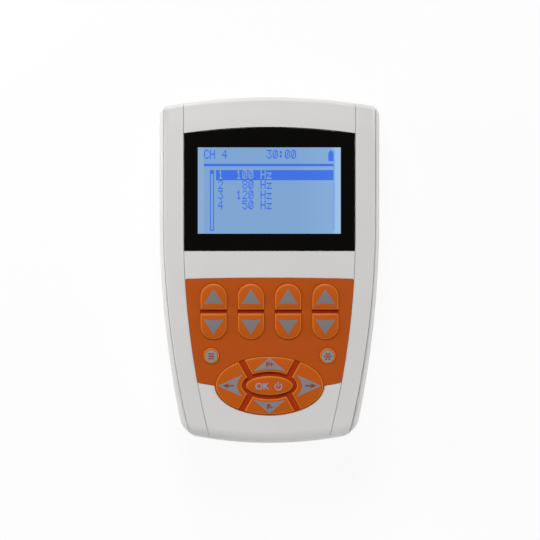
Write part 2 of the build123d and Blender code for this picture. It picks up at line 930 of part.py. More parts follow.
# Channel keys, one above and one below the split of each pair
for number, x in enumerate(channel_columns, start=1):
    for direction, name in ((1, "up"), (-1, "down")):
        half_y = channel_centre + direction * channel_split / 2
        with BuildSketch(Plane.XY.offset(key_foot)) as half:
            add(channel_outline(0, x, 0))
            with Locations((x, half_y)):
                Rectangle(
                    channel_width,
                    channel_length,
                    align=(Align.CENTER, Align.MIN if direction > 0 else Align.MAX),
                    mode=Mode.INTERSECT,
                )
        save(key(half.sketch, channel_rise), f"channel_{number}_{name}_key")
        pill_y = channel_centre + direction * channel_length / 4
        save(pill(x, pill_y), f"channel_{number}_{name}_pill")

# Round keys beside the navigation ring
for side, name in ((-1, "list"), (1, "menu")):
    save(key(round_outline(key_foot, side, 0), round_key_rise), f"{name}_key")
    save(pill(side * round_key_x, round_key_y), f"{name}_pill")

# Navigation ring and the OK key in its middle
ring_keys = ring_outline(key_foot, 0).faces().sort_by(Axis.X)
end_keys = ring_keys[1:-1].sort_by(Axis.Y)
ring_pill_x = (ring_width + ring_inner_width) / 4
ring_pill_y = (ring_height + ring_inner_height) / 4
ring_parts = (
    ("left", ring_keys[0], ring_rise, -ring_pill_x, 0),
    ("right", ring_keys[-1], ring_rise, ring_pill_x, 0),
    ("minus", end_keys[0], ring_rise, 0, -ring_pill_y),
    ("plus", end_keys[-1], ring_rise, 0, ring_pill_y),
    ("ok", ok_outline(key_foot, 0), ok_key_rise, 0, 0),
)
for name, outline, rise, x, y in ring_parts:
    save(key(outline, rise), f"{name}_key")
    save(pill(x, ring_centre + y), f"{name}_pill")


def board(outline):
    """A circuit board of an outline."""
    with BuildPart() as plate:
        extrude(outline, amount=board_thickness)
    return plate


def board_outline(foot, foot_y, head_y, notches):
    """The plan of a board that follows the hollow of the case, notched around the case screws."""
    with BuildSketch(Plane.XY.offset(foot)) as outline:
        add(inside(0, board_inset - side_inset_inside))
        with Locations((0, foot_y)):
            Rectangle(
                body_width, head_y - foot_y, align=(Align.CENTER, Align.MIN), mode=Mode.INTERSECT
            )
        if notches:
            with Locations(*notches):
                notch_width = case_boss_width + 2 * board_notch_gap
                Rectangle(notch_width, notch_width, mode=Mode.SUBTRACT)
    return outline.sketch


# Boards
key_board_foot = key_board_top - board_thickness
key_board_foot_y = key_board_foot_room - body_length / 2
key_board = board(board_outline(key_board_foot, key_board_foot_y, key_board_head, ()))
save(key_board, "key_board")
main_board_foot = main_board_foot_room - body_length / 2
main_board_head = body_length / 2 - main_board_head_room
main_board = board(
    board_outline(main_board_foot_height, main_board_foot, main_board_head, case_screw_places)
)
save(main_board, "main_board")


def connector(x, width, length, bore_radius, bore_depth):
    """A socket whose front fills its cut-out in the head end, hung under the main board."""
    front = head_end(abs(x) + width / 2) - nose_recess
    with BuildPart() as socket:
        with Locations((x, front, connector_axis)):
            Box(width, length, connector_height, align=(Align.CENTER, Align.MAX, Align.CENTER))
        with BuildSketch(Plane(origin=(x, front, connector_axis), z_dir=(0, -1, 0))):
            Circle(bore_radius)
        extrude(amount=bore_depth, mode=Mode.SUBTRACT)
    return socket


# Connectors: four outputs and the charging socket with its centre pin
for number, x in enumerate(output_x, start=1):
    output = connector(x, output_width, output_length, output_bore_radius, output_bore_depth)
    save(output, f"output_socket_{number}")
charge_socket = connector(
    charge_x, charge_width, charge_length, charge_bore_radius, charge_bore_depth
)
charge_front = charge_socket.faces().sort_by(Axis.Y)[-1].center().Y
charge_floor = charge_front - charge_bore_depth
pin_end = Plane(origin=(charge_x, charge_floor - charge_pin_root, connector_axis), z_dir=(0, 1, 0))
with BuildPart() as charge_jack:
    add(charge_socket.part)
    with BuildSketch(pin_end):
        Circle(charge_pin_root_radius)
    extrude(amount=charge_pin_root, mode=Mode.SUBTRACT)
save(charge_jack, "charge_jack")
with BuildPart() as charge_pin:
    with BuildSketch(pin_end):
        Circle(charge_pin_root_radius)
    extrude(amount=charge_pin_root)
    with BuildSketch(pin_end.offset(charge_pin_root)):
        Circle(charge_pin_radius)
    extrude(amount=charge_pin_length)
save(charge_pin, "charge_pin")

# Step-up transformers under the main board, one for each channel
with BuildPart() as transformers:
    for place in range(channel_count):
        x = (place - (channel_count - 1) / 2) * transformer_pitch
        with Locations((x, transformer_y, main_board_foot_height)):
            Box(
                transformer_width,
                transformer_width,
                transformer_height,
                align=(Align.CENTER, Align.CENTER, Align.MAX),
            )
            Box(
                transformer_width + 2 * core_side,
                core_width,
                transformer_height - core_side,
                align=(Align.CENTER, Align.CENTER, Align.MAX),
            )
save(transformers, "transformers")

with BuildPart() as processor_chip:
    with Locations((0, chip_y, main_board_top)):
        Box(chip_width, chip_width, chip_height, align=(Align.CENTER, Align.CENTER, Align.MIN))
save(processor_chip, "processor_chip")

with BuildPart() as buzzer:
    column([(buzzer_x, buzzer_y)], buzzer_width, main_board_top, main_board_top + buzzer_height)
save(buzzer, "buzzer")

# Links from the main board to the boards above it
link_ends = (
    ("key_board_link", key_link_y, key_board_foot),
    ("lcd_board_link", lcd_link_y, lcd_board_top - board_thickness),
)
for name, y, top in link_ends:
    with BuildPart() as link:
        with Locations((0, y, main_board_top)):
            Box(
                link_width,
                link_depth,
                top - main_board_top,
                align=(Align.CENTER, Align.CENTER, Align.MIN),
            )
    save(link, name)

# Battery cells and the contacts at their ends
cell_axis = cell_foot + cell_radius
with BuildPart() as battery_cells:
    for y in cell_rows:
        with BuildSketch(Plane(origin=(-cell_length / 2, y, cell_axis), z_dir=(1, 0, 0))):
            RegularPolygon(cell_radius, cell_sides)
        extrude(amount=cell_length)
save(battery_cells, "battery_cells")

contact_depth = (bay_width - cell_length) / 2
with BuildPart() as battery_contacts:
    for side, first in ((-1, 0), (1, 1)):
        for row in range(first, cell_count - 1, 2):
            with Locations((side * bay_width / 2, (cell_rows[row] + cell_rows[row + 1]) / 2, cell_axis)):
                Box(
                    contact_thickness,
                    cell_pitch + contact_width,
                    contact_width,
                    align=(Align.MAX if side > 0 else Align.MIN, Align.CENTER, Align.CENTER),
                )
            for y in (cell_rows[row], cell_rows[row + 1]):
                with Locations((side * cell_length / 2, y, cell_axis)):
                    Box(
                        contact_depth,
                        spring_width,
                        spring_width,
                        align=(Align.MIN if side > 0 else Align.MAX, Align.CENTER, Align.CENTER),
                    )
save(battery_contacts, "battery_contacts")


# Case screws, driven from the back
case_head_foot = case_head_seat - case_head_height
with BuildPart() as case_screws:
    post(case_screw_places, case_head_radius, case_head_foot, case_head_seat)
    shank(case_shank_radius, case_head_seat, case_head_seat + case_shank_length)
save(case_screws, "case_screws")
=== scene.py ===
from math import cos, hypot, pi, radians, sin, sqrt

import bmesh
import bpy
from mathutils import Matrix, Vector


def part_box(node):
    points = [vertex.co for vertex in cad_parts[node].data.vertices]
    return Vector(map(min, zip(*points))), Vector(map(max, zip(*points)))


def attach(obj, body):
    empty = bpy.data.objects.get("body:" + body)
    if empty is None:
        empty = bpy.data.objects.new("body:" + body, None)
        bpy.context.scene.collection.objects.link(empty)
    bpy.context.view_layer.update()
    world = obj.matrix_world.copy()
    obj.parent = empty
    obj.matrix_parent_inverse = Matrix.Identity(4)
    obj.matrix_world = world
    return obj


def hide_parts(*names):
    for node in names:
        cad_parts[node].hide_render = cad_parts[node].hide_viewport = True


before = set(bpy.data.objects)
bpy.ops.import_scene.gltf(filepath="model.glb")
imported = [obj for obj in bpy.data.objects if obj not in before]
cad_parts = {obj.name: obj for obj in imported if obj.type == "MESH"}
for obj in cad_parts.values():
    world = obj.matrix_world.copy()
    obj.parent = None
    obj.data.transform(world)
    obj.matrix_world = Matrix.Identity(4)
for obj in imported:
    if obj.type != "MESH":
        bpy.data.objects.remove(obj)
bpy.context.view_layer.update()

mm = 0.001
overAll = 45.0  # a height above the whole unit, for tools that cut through its top


def deselectAll():
    if bpy.context.mode != "OBJECT":
        bpy.ops.object.mode_set(mode="OBJECT")
    bpy.ops.object.select_all(action="DESELECT")


def pick(piece):
    deselectAll()
    piece.select_set(True)
    bpy.context.view_layer.objects.active = piece


def named(name):
    # the active object and its mesh get a name
    made = bpy.context.object
    made.name = made.data.name = name
    return made


def settle(piece):
    # place, turn and size go into the mesh
    pick(piece)
    bpy.ops.object.transform_apply(location=True, rotation=True, scale=True)


def edit(piece, action, kind="FACE"):
    # into edit mode, with everything or nothing selected
    pick(piece)
    bpy.ops.object.mode_set(mode="EDIT")
    bpy.ops.mesh.select_mode(type=kind)
    bpy.ops.mesh.select_all(action=action)


def tidyNormals(piece, weld=0.002):
    # corners closer than the weld become one, and faces point outwards
    edit(piece, "SELECT")
    bpy.ops.mesh.remove_doubles(threshold=weld * mm)
    bpy.ops.mesh.normals_make_consistent(inside=False)
    bpy.ops.object.mode_set(mode="OBJECT")


def smooth(piece, degrees=35):
    # large flat faces keep their own normals, so that they shade evenly
    pick(piece)
    bpy.ops.object.shade_smooth_by_angle(angle=radians(degrees))
    step = piece.modifiers.new("normals", "WEIGHTED_NORMAL")
    step.keep_sharp = True
    bpy.ops.object.modifier_apply(modifier=step.name)


def loft(name, rings, digits=7):
    # a closed solid through rings of points in millimetres, from the bottom up;
    # an extruded corner is known by its place, to so many digits
    deselectAll()
    bpy.ops.mesh.primitive_circle_add(vertices=len(rings[0]), radius=1, fill_type="NGON")
    piece = named(name)
    edit(piece, "SELECT")
    order = {}
    for step, ring in enumerate(rings):
        if step:
            bpy.ops.mesh.extrude_region_move()
        mesh = bmesh.from_edit_mesh(piece.data)
        face = next(f for f in mesh.faces if f.select)
        for place, corner in enumerate(face.verts):
            index = order.get(tuple(round(c, digits) for c in corner.co), place)
            corner.co = Vector(ring[index]) * mm
        order = {tuple(round(c * mm, digits) for c in point): i for i, point in enumerate(ring)}
        bmesh.update_edit_mesh(piece.data)
    bpy.ops.object.mode_set(mode="OBJECT")
    tidyNormals(piece)
    return piece


def level(outline, height):
    return [(x, y, height) for x, y, *_ in outline]


def shrink(outline, inset, sharpest=0.3, rounds=6):
    # moves a closed outline inwards, or outwards where inset is negative
    points = [Vector(point) for point in outline]
    following = points[1:] + points[:1]
    turn = 1 if sum(a.cross(b) for a, b in zip(points, following)) > 0 else -1
    moved, bends = [], []
    for last, here, coming in zip(points[-1:] + points[:-1], points, following):
        before, after = (here - last).normalized(), (coming - here).normalized()
        inward = Vector((-before.y - after.y, before.x + after.x)) * turn
        moved.append(here + inward * inset / max(inward.length_squared / 2, sharpest))
        bends.append(abs(before.cross(after)))
    # where an edge has turned over beside a corner, its ends gather in the corner
    for _ in range(rounds):
        for i in range(len(points)):
            j = (i + 1) % len(points)
            if (points[j] - points[i]).dot(moved[j] - moved[i]) < 0:
                keep, drop = (i, j) if bends[i] > bends[j] else (j, i)
                moved[drop], bends[drop] = moved[keep], bends[keep]
    return [tuple(point) for point in moved]


def plate(name, outline, low, high, edge=0.0, steps=4):
    # an upright solid of an outline, its top edge rounded
    rings = [level(outline, low)]
    if edge:
        for step in range(steps + 1):
            turn = radians(90 * step / steps)
            inset = edge * (1 - cos(turn))
            rings.append(level(shrink(outline, inset), high - edge * (1 - sin(turn))))
    else:
        rings.append(level(outline, high))
    return loft(name, rings)


def box(name, low, high):
    deselectAll()
    bpy.ops.mesh.primitive_cube_add(
        size=1,
        location=[(a + b) / 2 * mm for a, b in zip(low, high)],
        scale=[(b - a) * mm for a, b in zip(low, high)],
    )
    made = named(name)
    settle(made)
    return made


def turned(name, start, axis, profile, count=48):
    # a solid of revolution along X, Y or Z: how far along, and the radius
    rings = []
    for reach, radius in profile:
        ring = []
        for step in range(count):
            turn = 2 * pi * step / count
            point = list(start)
            point[axis] += reach
            point[axis - 2] += radius * cos(turn)
            point[axis - 1] += radius * sin(turn)
            ring.append(tuple(point))
        rings.append(ring)
    return loft(name, rings)


def combine(piece, tool, operation="DIFFERENCE"):
    pick(piece)
    step = piece.modifiers.new("combine", "BOOLEAN")
    step.operation = operation
    step.object = tool
    step.solver = "EXACT"
    bpy.ops.object.modifier_apply(modifier=step.name)
    bpy.data.objects.remove(tool, do_unlink=True)


def cutBox(piece, low, high):
    combine(piece, box("cut", low, high))


def sink(piece, outline, low):
    combine(piece, plate("well", outline, low, overAll))


def copyOf(piece, name):
    made = piece.copy()
    made.data = piece.data.copy()
    made.name = made.data.name = name
    bpy.context.scene.collection.objects.link(made)
    return made


def joined(pieces, name):
    deselectAll()
    for piece in pieces:
        piece.select_set(True)
    bpy.context.view_layer.objects.active = pieces[0]
    bpy.ops.object.join()
    return named(name)


def bevelWhere(piece, chosen, width, segments=2, sharp=60):
    # rounds the edges sharper than an angle whose middle is chosen, in millimetres
    edit(piece, "DESELECT", "EDGE")
    mesh = bmesh.from_edit_mesh(piece.data)
    for edge in mesh.edges:
        if len(edge.link_faces) != 2 or edge.calc_face_angle() < radians(sharp):
            continue
        middle = (edge.verts[0].co + edge.verts[1].co) / 2 / mm
        if chosen(middle):
            edge.select_set(True)
    bmesh.update_edit_mesh(piece.data)
    bpy.ops.mesh.bevel(offset=width * mm, segments=segments, affect="EDGES", clamp_overlap=True)
    bpy.ops.object.mode_set(mode="OBJECT")


def coat(piece, materials):
    for material in materials:
        piece.data.materials.append(material)


def finished(piece, materials, body, slot, *nodes):
    # materials, unless it has them, then the body that carries it and the nodes it replaces
    coat(piece, materials)
    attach(piece, body)
    if nodes:
        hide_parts(*nodes)


def linear(colour):
    # an sRGB hex value as a linear colour
    parts = [int(colour[i : i + 2], 16) / 255 for i in (1, 3, 5)]
    return tuple(p / 12.92 if p <= 0.04045 else ((p + 0.055) / 1.055) ** 2.4 for p in parts) + (1,)


def blank(name):
    # a material without nodes, and its tree
    material = bpy.data.materials.new(name)
    material.use_nodes = True
    material.node_tree.nodes.clear()
    return material, material.node_tree


def addNode(tree, kind, settings=None, links=None):
    # a link comes from an output, or from the first output of a node
    made = tree.nodes.new("ShaderNode" + kind)
    for name, value in (settings or {}).items():
        if isinstance(name, int) or name in made.inputs:
            made.inputs[name].default_value = value
        else:
            setattr(made, name, value)
    for name, source in (links or {}).items():
        tree.links.new(getattr(source, "outputs", [source])[0], made.inputs[name])
    return made


def moulded(name, colour, shade, rough, grain, depth, specular=0.5, metallic=0.0, lacquer=0.0):
    # a moulded surface: a slow drift between two tones, and a grain of a real size in mm
    material, tree = blank(name)
    place = {"Vector": addNode(tree, "TexCoord").outputs["Object"]}
    drift = addNode(tree, "TexNoise", {"Scale": 1 / (25 * mm), "Detail": 2.0}, place)
    fine = addNode(tree, "TexNoise", {"Scale": 1 / (grain * mm), "Detail": 3.0}, place)
    # sockets 6 and 7 are the two colours of this kind of mix
    tones = {"data_type": "RGBA", 6: linear(colour), 7: linear(shade)}
    tone = addNode(tree, "Mix", tones, {0: drift}).outputs[2]
    limits = {"To Min": rough - 0.05, "To Max": rough + 0.05}
    spread = addNode(tree, "MapRange", limits, {"Value": fine})
    bump = addNode(tree, "Bump", {"Strength": 0.5, "Distance": depth * mm}, {"Height": fine})
    looks = {"Specular IOR Level": specular, "Metallic": metallic, "Coat Weight": lacquer}
    links = {"Base Color": tone, "Roughness": spread, "Normal": bump}
    shader = addNode(tree, "BsdfPrincipled", looks, links)
    addNode(tree, "OutputMaterial", links={"Surface": shader})
    return material


# for each material: two tones, roughness, grain and its depth in mm, then its reflections;
# injection-moulded ABS, spark-eroded finish: an even soft sheen with a fine grain
caseAbs = moulded("mouldedAbsCase", "#dedddb", "#dad8d6", 0.5, 0.5, 0.01)
railAbs = moulded("mouldedAbsRail", "#dddcda", "#d9d7d5", 0.5, 0.5, 0.01)
# compression-moulded silicone rubber: satin, and it reflects little
silicone = moulded("mouldedSilicone", "#c45b14", "#bf5712", 0.4, 0.35, 0.006, 0.18)
matSilicone = moulded("mouldedSiliconeMat", "#bb5314", "#b65012", 0.42, 0.35, 0.008, 0.2)
# redder and darker in the wells between the keys, a painted shade; lighter at the thin edges of
# the keys, a painted highlight
wellSiliconePaintedShade = moulded("siliconeWellPaintedShade", "#b83a0a", "#b03608", 0.45, 0.35, 0.008, 0.2)
edgePaintedHighlight = moulded("siliconeEdgePaintedHighlight", "#dc8722", "#d6811e", 0.55, 0.35, 0.006, 0.1)
# silver silk-screen ink on silicone: dull metallic flakes
silverInk = moulded("silkScreenSilver", "#827c7d", "#7b7576", 0.5, 0.2, 0.004)
paleInk = moulded("silkScreenPaleSilver", "#8c878a", "#858083", 0.5, 0.2, 0.004)
discInk = moulded("silkScreenCoolSilver", "#919496", "#8a8d8f", 0.5, 0.2, 0.004)
brightInk = moulded("silkScreenBright", "#88a6ba", "#819eb2", 0.5, 0.2, 0.004)
inkGap = moulded("siliconeInPrint", "#a2330a", "#9a3008", 0.5, 0.35, 0.004)
# screen-printed black behind polished acrylic: deep and glossy
blackGloss = moulded("backPrintedAcrylic", "#060504", "#050403", 0.1, 6.0, 0.001, 0.35, 0.0, 0.25)
# glass-filled nylon and closed-cell foam: dull
blackNylon = moulded("glassFilledNylon", "#161615", "#121212", 0.6, 0.3, 0.01)
blackFoam = moulded("closedCellFoam", "#1a1a1a", "#141414", 0.9, 0.4, 0.08)
# solder mask, shrunk sleeve and polished light guide: smooth films that shine a little
boardGreen = moulded("solderMaskBoard", "#1d5a38", "#195032", 0.35, 2.0, 0.01)
cellSleeve = moulded("pvcShrinkSleeve", "#2b7a52", "#276f4b", 0.28, 3.0, 0.01)
whiteGuide = moulded("acrylicLightGuide", "#ecedf0", "#e4e6ea", 0.3, 2.0, 0.002)
# plated metals: bright and slightly grained
platedSteel = moulded("zincPlatedSteel", "#b9b8b2", "#aeada8", 0.32, 0.4, 0.004, 0.5, 1.0)
platedBrass = moulded("nickelPlatedBrass", "#c9b98a", "#c0b080", 0.25, 0.4, 0.003, 0.5, 1.0)
print("materials")

# outlines in plan, in millimetres
case = dict(
    length=160.0, width=102.0, face=33.5, headRadius=285.0, footRadius=185.0,
    sideRadius=470.0, seamRadius=425.0, sideStart=25.0, seamInset=2.0,
    groove=(39.7, 392.0, 18.9),  # half the width between the grooves, radius and start
    steps=(26, 12, 44),  # along an end, round a corner and along a side
)


def sideAt(y, half, radius, start):
    if y >= start:
        return half
    return half - radius + sqrt(radius**2 - (start - y) ** 2)


def grooveAt(y):
    return sideAt(y, *case["groove"])


def cornerArc(first, corner, last, steps, pull=1.414):
    # a curve from first to last, pulled towards the corner between them
    points = []
    for step in range(steps + 1):
        t = step / steps
        a, b, c = (1 - t) ** 2, pull * t * (1 - t), t**2
        total = a + b + c
        points.append(
            tuple((a * f + b * m + c * n) / total for f, m, n in zip(first, corner, last))
        )
    return points


def caseOutline(side, head, foot, radius, headCorner, footCorner):
    # right half from the head end down to the foot end, then its mirror image;
    # each point is x, y and its share of the head, the side and the foot
    half = case["width"] / 2 - side
    top = case["length"] / 2 - case["headRadius"]
    bottom = case["footRadius"] - case["length"] / 2
    headRadius = case["headRadius"] - head
    footRadius = case["footRadius"] - foot
    ends, turns, sides = case["steps"]

    def headY(x):
        return top + sqrt(headRadius**2 - x**2)

    def footY(x):
        return bottom - sqrt(footRadius**2 - x**2)

    def sideX(y):
        return sideAt(y, half, radius, case["sideStart"])

    # a first guess of where the sides meet the ends, closer with each round
    headX, footX = half, half - 10
    for _ in range(8):
        headX = sideX(headY(headX))
        footX = sideX(footY(footX))
    lastHead = headX - headCorner
    headXs = [lastHead * step / ends for step in range(ends)]
    points = [(x, headY(x), 1, 0, 0) for x in headXs]
    cornerY = headY(headX)
    firstSide = cornerY - headCorner
    arc = cornerArc(
        (lastHead, headY(lastHead)), (headX, cornerY), (sideX(firstSide), firstSide), turns
    )
    points += [(x, y, 1 - i / turns, i / turns, 0) for i, (x, y) in enumerate(arc)]
    cornerY = footY(footX)
    lastSide = cornerY + footCorner
    for step in range(1, sides):
        y = firstSide + (lastSide - firstSide) * step / sides
        points.append((sideX(y), y, 0, 1, 0))
    firstFoot = footX - footCorner
    arc = cornerArc(
        (sideX(lastSide), lastSide), (footX, cornerY), (firstFoot, footY(firstFoot)), turns
    )
    points += [(x, y, 0, 1 - i / turns, i / turns) for i, (x, y) in enumerate(arc)]
    for step in range(1, ends + 1):
        x = firstFoot * (1 - step / ends)
        points.append((x, footY(x), 0, 0, 1))
    return points + [(-x, y, a, b, c) for x, y, a, b, c in reversed(points[1:-1])]


def ellipse(across, along, centre, count=96):
    turns = [2 * pi * i / count for i in range(count)]
    return [(centre[0] + across * cos(t), centre[1] + along * sin(t)) for t in turns]


rear = dict(
    # the softened back: how far in, and how high
    back=((3.6, 0.0), (2.6, 0.35), (1.9, 1.0), (1.45, 2.2),
          (1.0, 4.4), (0.5, 7.2), (0.12, 9.6), (0.0, 11.5)),
    # the rim up to the seam: how far in at the sides, how far in at the ends, how high
    rim=((0.0, 0.0, 25.2), (0.1, 0.0, 25.9), (0.35, 0.0, 26.6), (0.75, 0.0, 27.2),
         (1.2, 0.02, 27.6), (1.6, 0.12, 27.8), (1.8, 0.45, 27.75), (1.84, 0.5, 26.9)),
    corners=(3.5, 6.2),  # at the head and the foot
    sharpening=0.6,  # what the corners lose towards the seam
    backEdge=0.25,
    # the hollow: in from the sides and ends, the arc of its sides, its corners and its heights
    hollow=(4.2, 2.2, 422.8, 2.0, (2.4, 40.0)),
)
bay = dict(half=27.0, foot=-68.95, head=24.35, top=17.0, wall=1.4)
door = dict(
    half=27.95, foot=bay["foot"] - 0.95, head=bay["head"] + 0.95, low=0.3, high=2.0,
    gap=0.25, headroom=0.1, corner=1.2, edge=0.3, lowEdge=0.15,
)
# two tabs hook the door behind the head end of the bay
tab = dict(
    x=16, half=4, back=1.3, rootBack=0.2, reach=2.8, rootLow=1.9, low=2.6, high=3.8,
    slot=(4.4, 2.4, 5.4),  # half its width, and its heights
)
screw = dict(
    x=42.8, y=69.5, boss=4.2, bossLow=2.3, bossTop=24.0,
    # how high, and the radius: the bore for the head, then the hole for the shank
    bore=((-1.0, 3.0), (16.0, 3.0), (16.0, 1.6), (25.0, 1.6)),
    # a pan head, then the shank
    profile=((13.6, 1.9), (13.75, 2.4), (14.2, 2.7), (16.0, 2.7), (16.0, 1.35), (29.0, 1.3)),
    # the cross recess: half its length and width, and its heights
    recess=(1.5, 0.35, (13, 14.9)),
)
nose = dict(gap=0.2, low=66, high=90)
socketNodes = [f"output_socket_{n}" for n in (1, 2, 3, 4)] + ["charge_jack"]


def rearRing(inset, end, height, share=0.0):
    # the corners get sharper towards the seam
    radius = case["sideRadius"] + (case["seamRadius"] - case["sideRadius"]) * share
    corner = 1 - rear["sharpening"] * share
    corners = [size * corner for size in rear["corners"]]
    return level(caseOutline(inset, end, end, radius, *corners), height)


rings = [rearRing(inset, inset, height) for inset, height in rear["back"]]
rings += [
    rearRing(inset, end, height, inset / case["seamInset"]) for inset, end, height in rear["rim"]
]
rearShell = loft("rearShell", rings)
side, end, radius, corner, heights = rear["hollow"]
outline = caseOutline(side, end, end, radius, corner, corner)
hollow = loft("hollow", [level(outline, height) for height in heights])
wall = bay["wall"]
cutBox(
    hollow,
    (-bay["half"] - wall, bay["foot"] - wall, 0),
    (bay["half"] + wall, bay["head"] + wall, bay["top"] + wall),
)
combine(rearShell, hollow)
cutBox(rearShell, (-bay["half"], bay["foot"], -1), (bay["half"], bay["head"], bay["top"]))
gap = door["gap"]
cutBox(
    rearShell,
    (-door["half"] - gap, door["foot"] - gap, -1),
    (door["half"] + gap, door["head"] + gap, door["high"] + door["headroom"]),
)
for side in (-1, 1):
    x, y, (half, low, high) = side * tab["x"], bay["head"], tab["slot"]
    cutBox(rearShell, (x - half, y - tab["reach"], low), (x + half, y + tab["reach"], high))
for side in (-1, 1):
    x, y, half = side * screw["x"], screw["y"], screw["boss"]
    low, high = (x - half, y - half, screw["bossLow"]), (x + half, y + half, screw["bossTop"])
    combine(rearShell, box("boss", low, high), "UNION")
    combine(rearShell, turned("bore", (x, y, 0), 2, screw["bore"]))
for node in socketNodes:
    low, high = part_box(node)
    cutBox(
        rearShell,
        (low[0] / mm - nose["gap"], nose["low"], low[2] / mm - nose["gap"]),
        (high[0] / mm + nose["gap"], nose["high"], high[2] / mm + nose["gap"]),
    )
bevelWhere(rearShell, lambda m: m.z < 0.05, rear["backEdge"])
tidyNormals(rearShell)
smooth(rearShell)
finished(rearShell, [caseAbs], "case", "case_plastic", "rear_shell")
print("rear shell")

# a sprung hook at the foot end of the door, bent over its crown
latch = dict(
    half=6.0, thickness=1.2, span=2.9, crown=8.0, room=0.5, notchGap=0.25,
    fingerPad=(0.25, 1.5),  # above the underside of the door
    root=0.3,
)
grip = dict(count=5, start=7, pitch=2.4, half=7, thickness=0.45, heights=(0.1, 0.5))

doorOutline = []
for cornerX, cornerY, start in ((1, 1, 0), (-1, 1, 90), (-1, -1, 180), (1, -1, 270)):
    middleX = cornerX * (door["half"] - door["corner"])
    middleY = (door["head"] if cornerY > 0 else door["foot"]) - cornerY * door["corner"]
    for step in range(7):
        turn = radians(start + 15 * step)
        doorOutline.append(
            (middleX + door["corner"] * cos(turn), middleY + door["corner"] * sin(turn))
        )
edge, low = door["edge"], door["low"]
batteryDoor = loft(
    "batteryDoor",
    [
        level(shrink(doorOutline, edge), low),
        level(shrink(doorOutline, edge * 0.3), low + edge * 0.3),
        level(doorOutline, low + edge),
        level(doorOutline, door["high"]),
    ],
)
legHalf, bend = latch["thickness"] / 2, latch["span"] / 2
latchOuter = bay["foot"] + latch["room"] + legHalf
latchInner = latchOuter + latch["span"]
cutBox(
    batteryDoor,
    (-latch["half"] - latch["notchGap"], door["foot"] - 1, -1),
    (latch["half"] + latch["notchGap"], latchInner - legHalf, 5),
)
bendY, bendZ = latchOuter + bend, latch["crown"] - bend
turns = [radians(15 * step) for step in range(13)]
outerBend, innerBend = (
    [(bendY + radius * cos(turn), bendZ + radius * sin(turn)) for turn in path]
    for radius, path in ((bend + legHalf, turns), (bend - legHalf, turns[::-1]))
)
padLow, padHigh = (low + height for height in latch["fingerPad"])
strip = [
    *outerBend,
    (latchOuter - legHalf, padHigh),
    (door["foot"], padHigh),
    (door["foot"], padLow),
    (latchOuter + legHalf, padLow),
    *innerBend,
    (latchInner - legHalf, low + latch["root"]),
    (latchInner + legHalf, low + latch["root"]),
]
spring = [[(x, y, z) for y, z in strip] for x in (-latch["half"], latch["half"])]
parts = [batteryDoor, loft("latchSpring", spring)]
for side in (-1, 1):
    x, y, half = side * tab["x"], bay["head"], tab["half"]
    ends = ((y - tab["rootBack"], tab["rootLow"]), (door["head"] + tab["reach"], tab["low"]))
    for end, foot in ends:
        parts.append(box("tab", (x - half, y - tab["back"], foot), (x + half, end, tab["high"])))
for row in range(grip["count"]):
    y = latchInner + grip["start"] + row * grip["pitch"]
    foot, top = grip["heights"]
    low = (-grip["half"], y - grip["thickness"], foot)
    parts.append(box("gripRib", low, (grip["half"], y + grip["thickness"], top)))
batteryDoor = joined(parts, "batteryDoor")
bevelWhere(batteryDoor, lambda m: m.z < 0.12, door["lowEdge"])
smooth(batteryDoor)
finished(batteryDoor, [caseAbs], "battery_door", "case_plastic", "battery_door")
print("battery door")

screws = []
for side in (-1, 1):
    x, y = side * screw["x"], screw["y"]
    made = turned("screw", (x, y, 0), 2, screw["profile"], 40)
    long, thin, (low, high) = screw["recess"]
    for wide, deep in ((long, thin), (thin, long)):
        cutBox(made, (x - wide, y - deep, low), (x + wide, y + deep, high))
    screws.append(made)
caseScrews = joined(screws, "caseScrews")
smooth(caseScrews)
finished(caseScrews, [platedSteel], "case", "plated_steel", "case_screws")

cell = dict(
    # how far along, and the radius: can, sleeve, washer and cap
    profile=((0.4, 4.0), (0.1, 4.4), (0.1, 6.3), (0.3, 6.7), (0.1, 6.9), (0.5, 7.2), (48.6, 7.2),
             (49.0, 6.9), (48.9, 6.4), (48.9, 3.2), (49.0, 2.9), (50.1, 2.75), (50.4, 2.4)),
    count=6, radius=7.25,
    sleeveFrom=6.75,  # further out than this the sleeve laps over the ends
    capTo=3.1, canTo=1,
)
low, high = (Vector(corner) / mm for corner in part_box("battery_cells"))
pitch = (high.y - low.y - 2 * cell["radius"]) / (cell["count"] - 1)
z = (low.z + high.z) / 2
cells = []
for place in range(cell["count"]):
    # every other cell lies the other way round
    y = low.y + cell["radius"] + pitch * place
    profile = cell["profile"]
    if place % 2:
        profile = [(high.x - low.x - along, radius) for along, radius in profile]
    made = turned("cell", (low.x, y, z), 0, profile)
    for face in made.data.polygons:
        x, away = face.center.x / mm, hypot(face.center.y / mm - y, face.center.z / mm - z)
        along = high.x - x if place % 2 else x - low.x
        if away < cell["sleeveFrom"]:
            metal = along < cell["canTo"] or away < cell["capTo"]
            face.material_index = 1 if metal else 2
    coat(made, (cellSleeve, platedSteel, whiteGuide))
    cells.append(made)
batteryCells = joined(cells, "batteryCells")
smooth(batteryCells)
finished(batteryCells, [], "case", "cell_sleeve", "battery_cells")

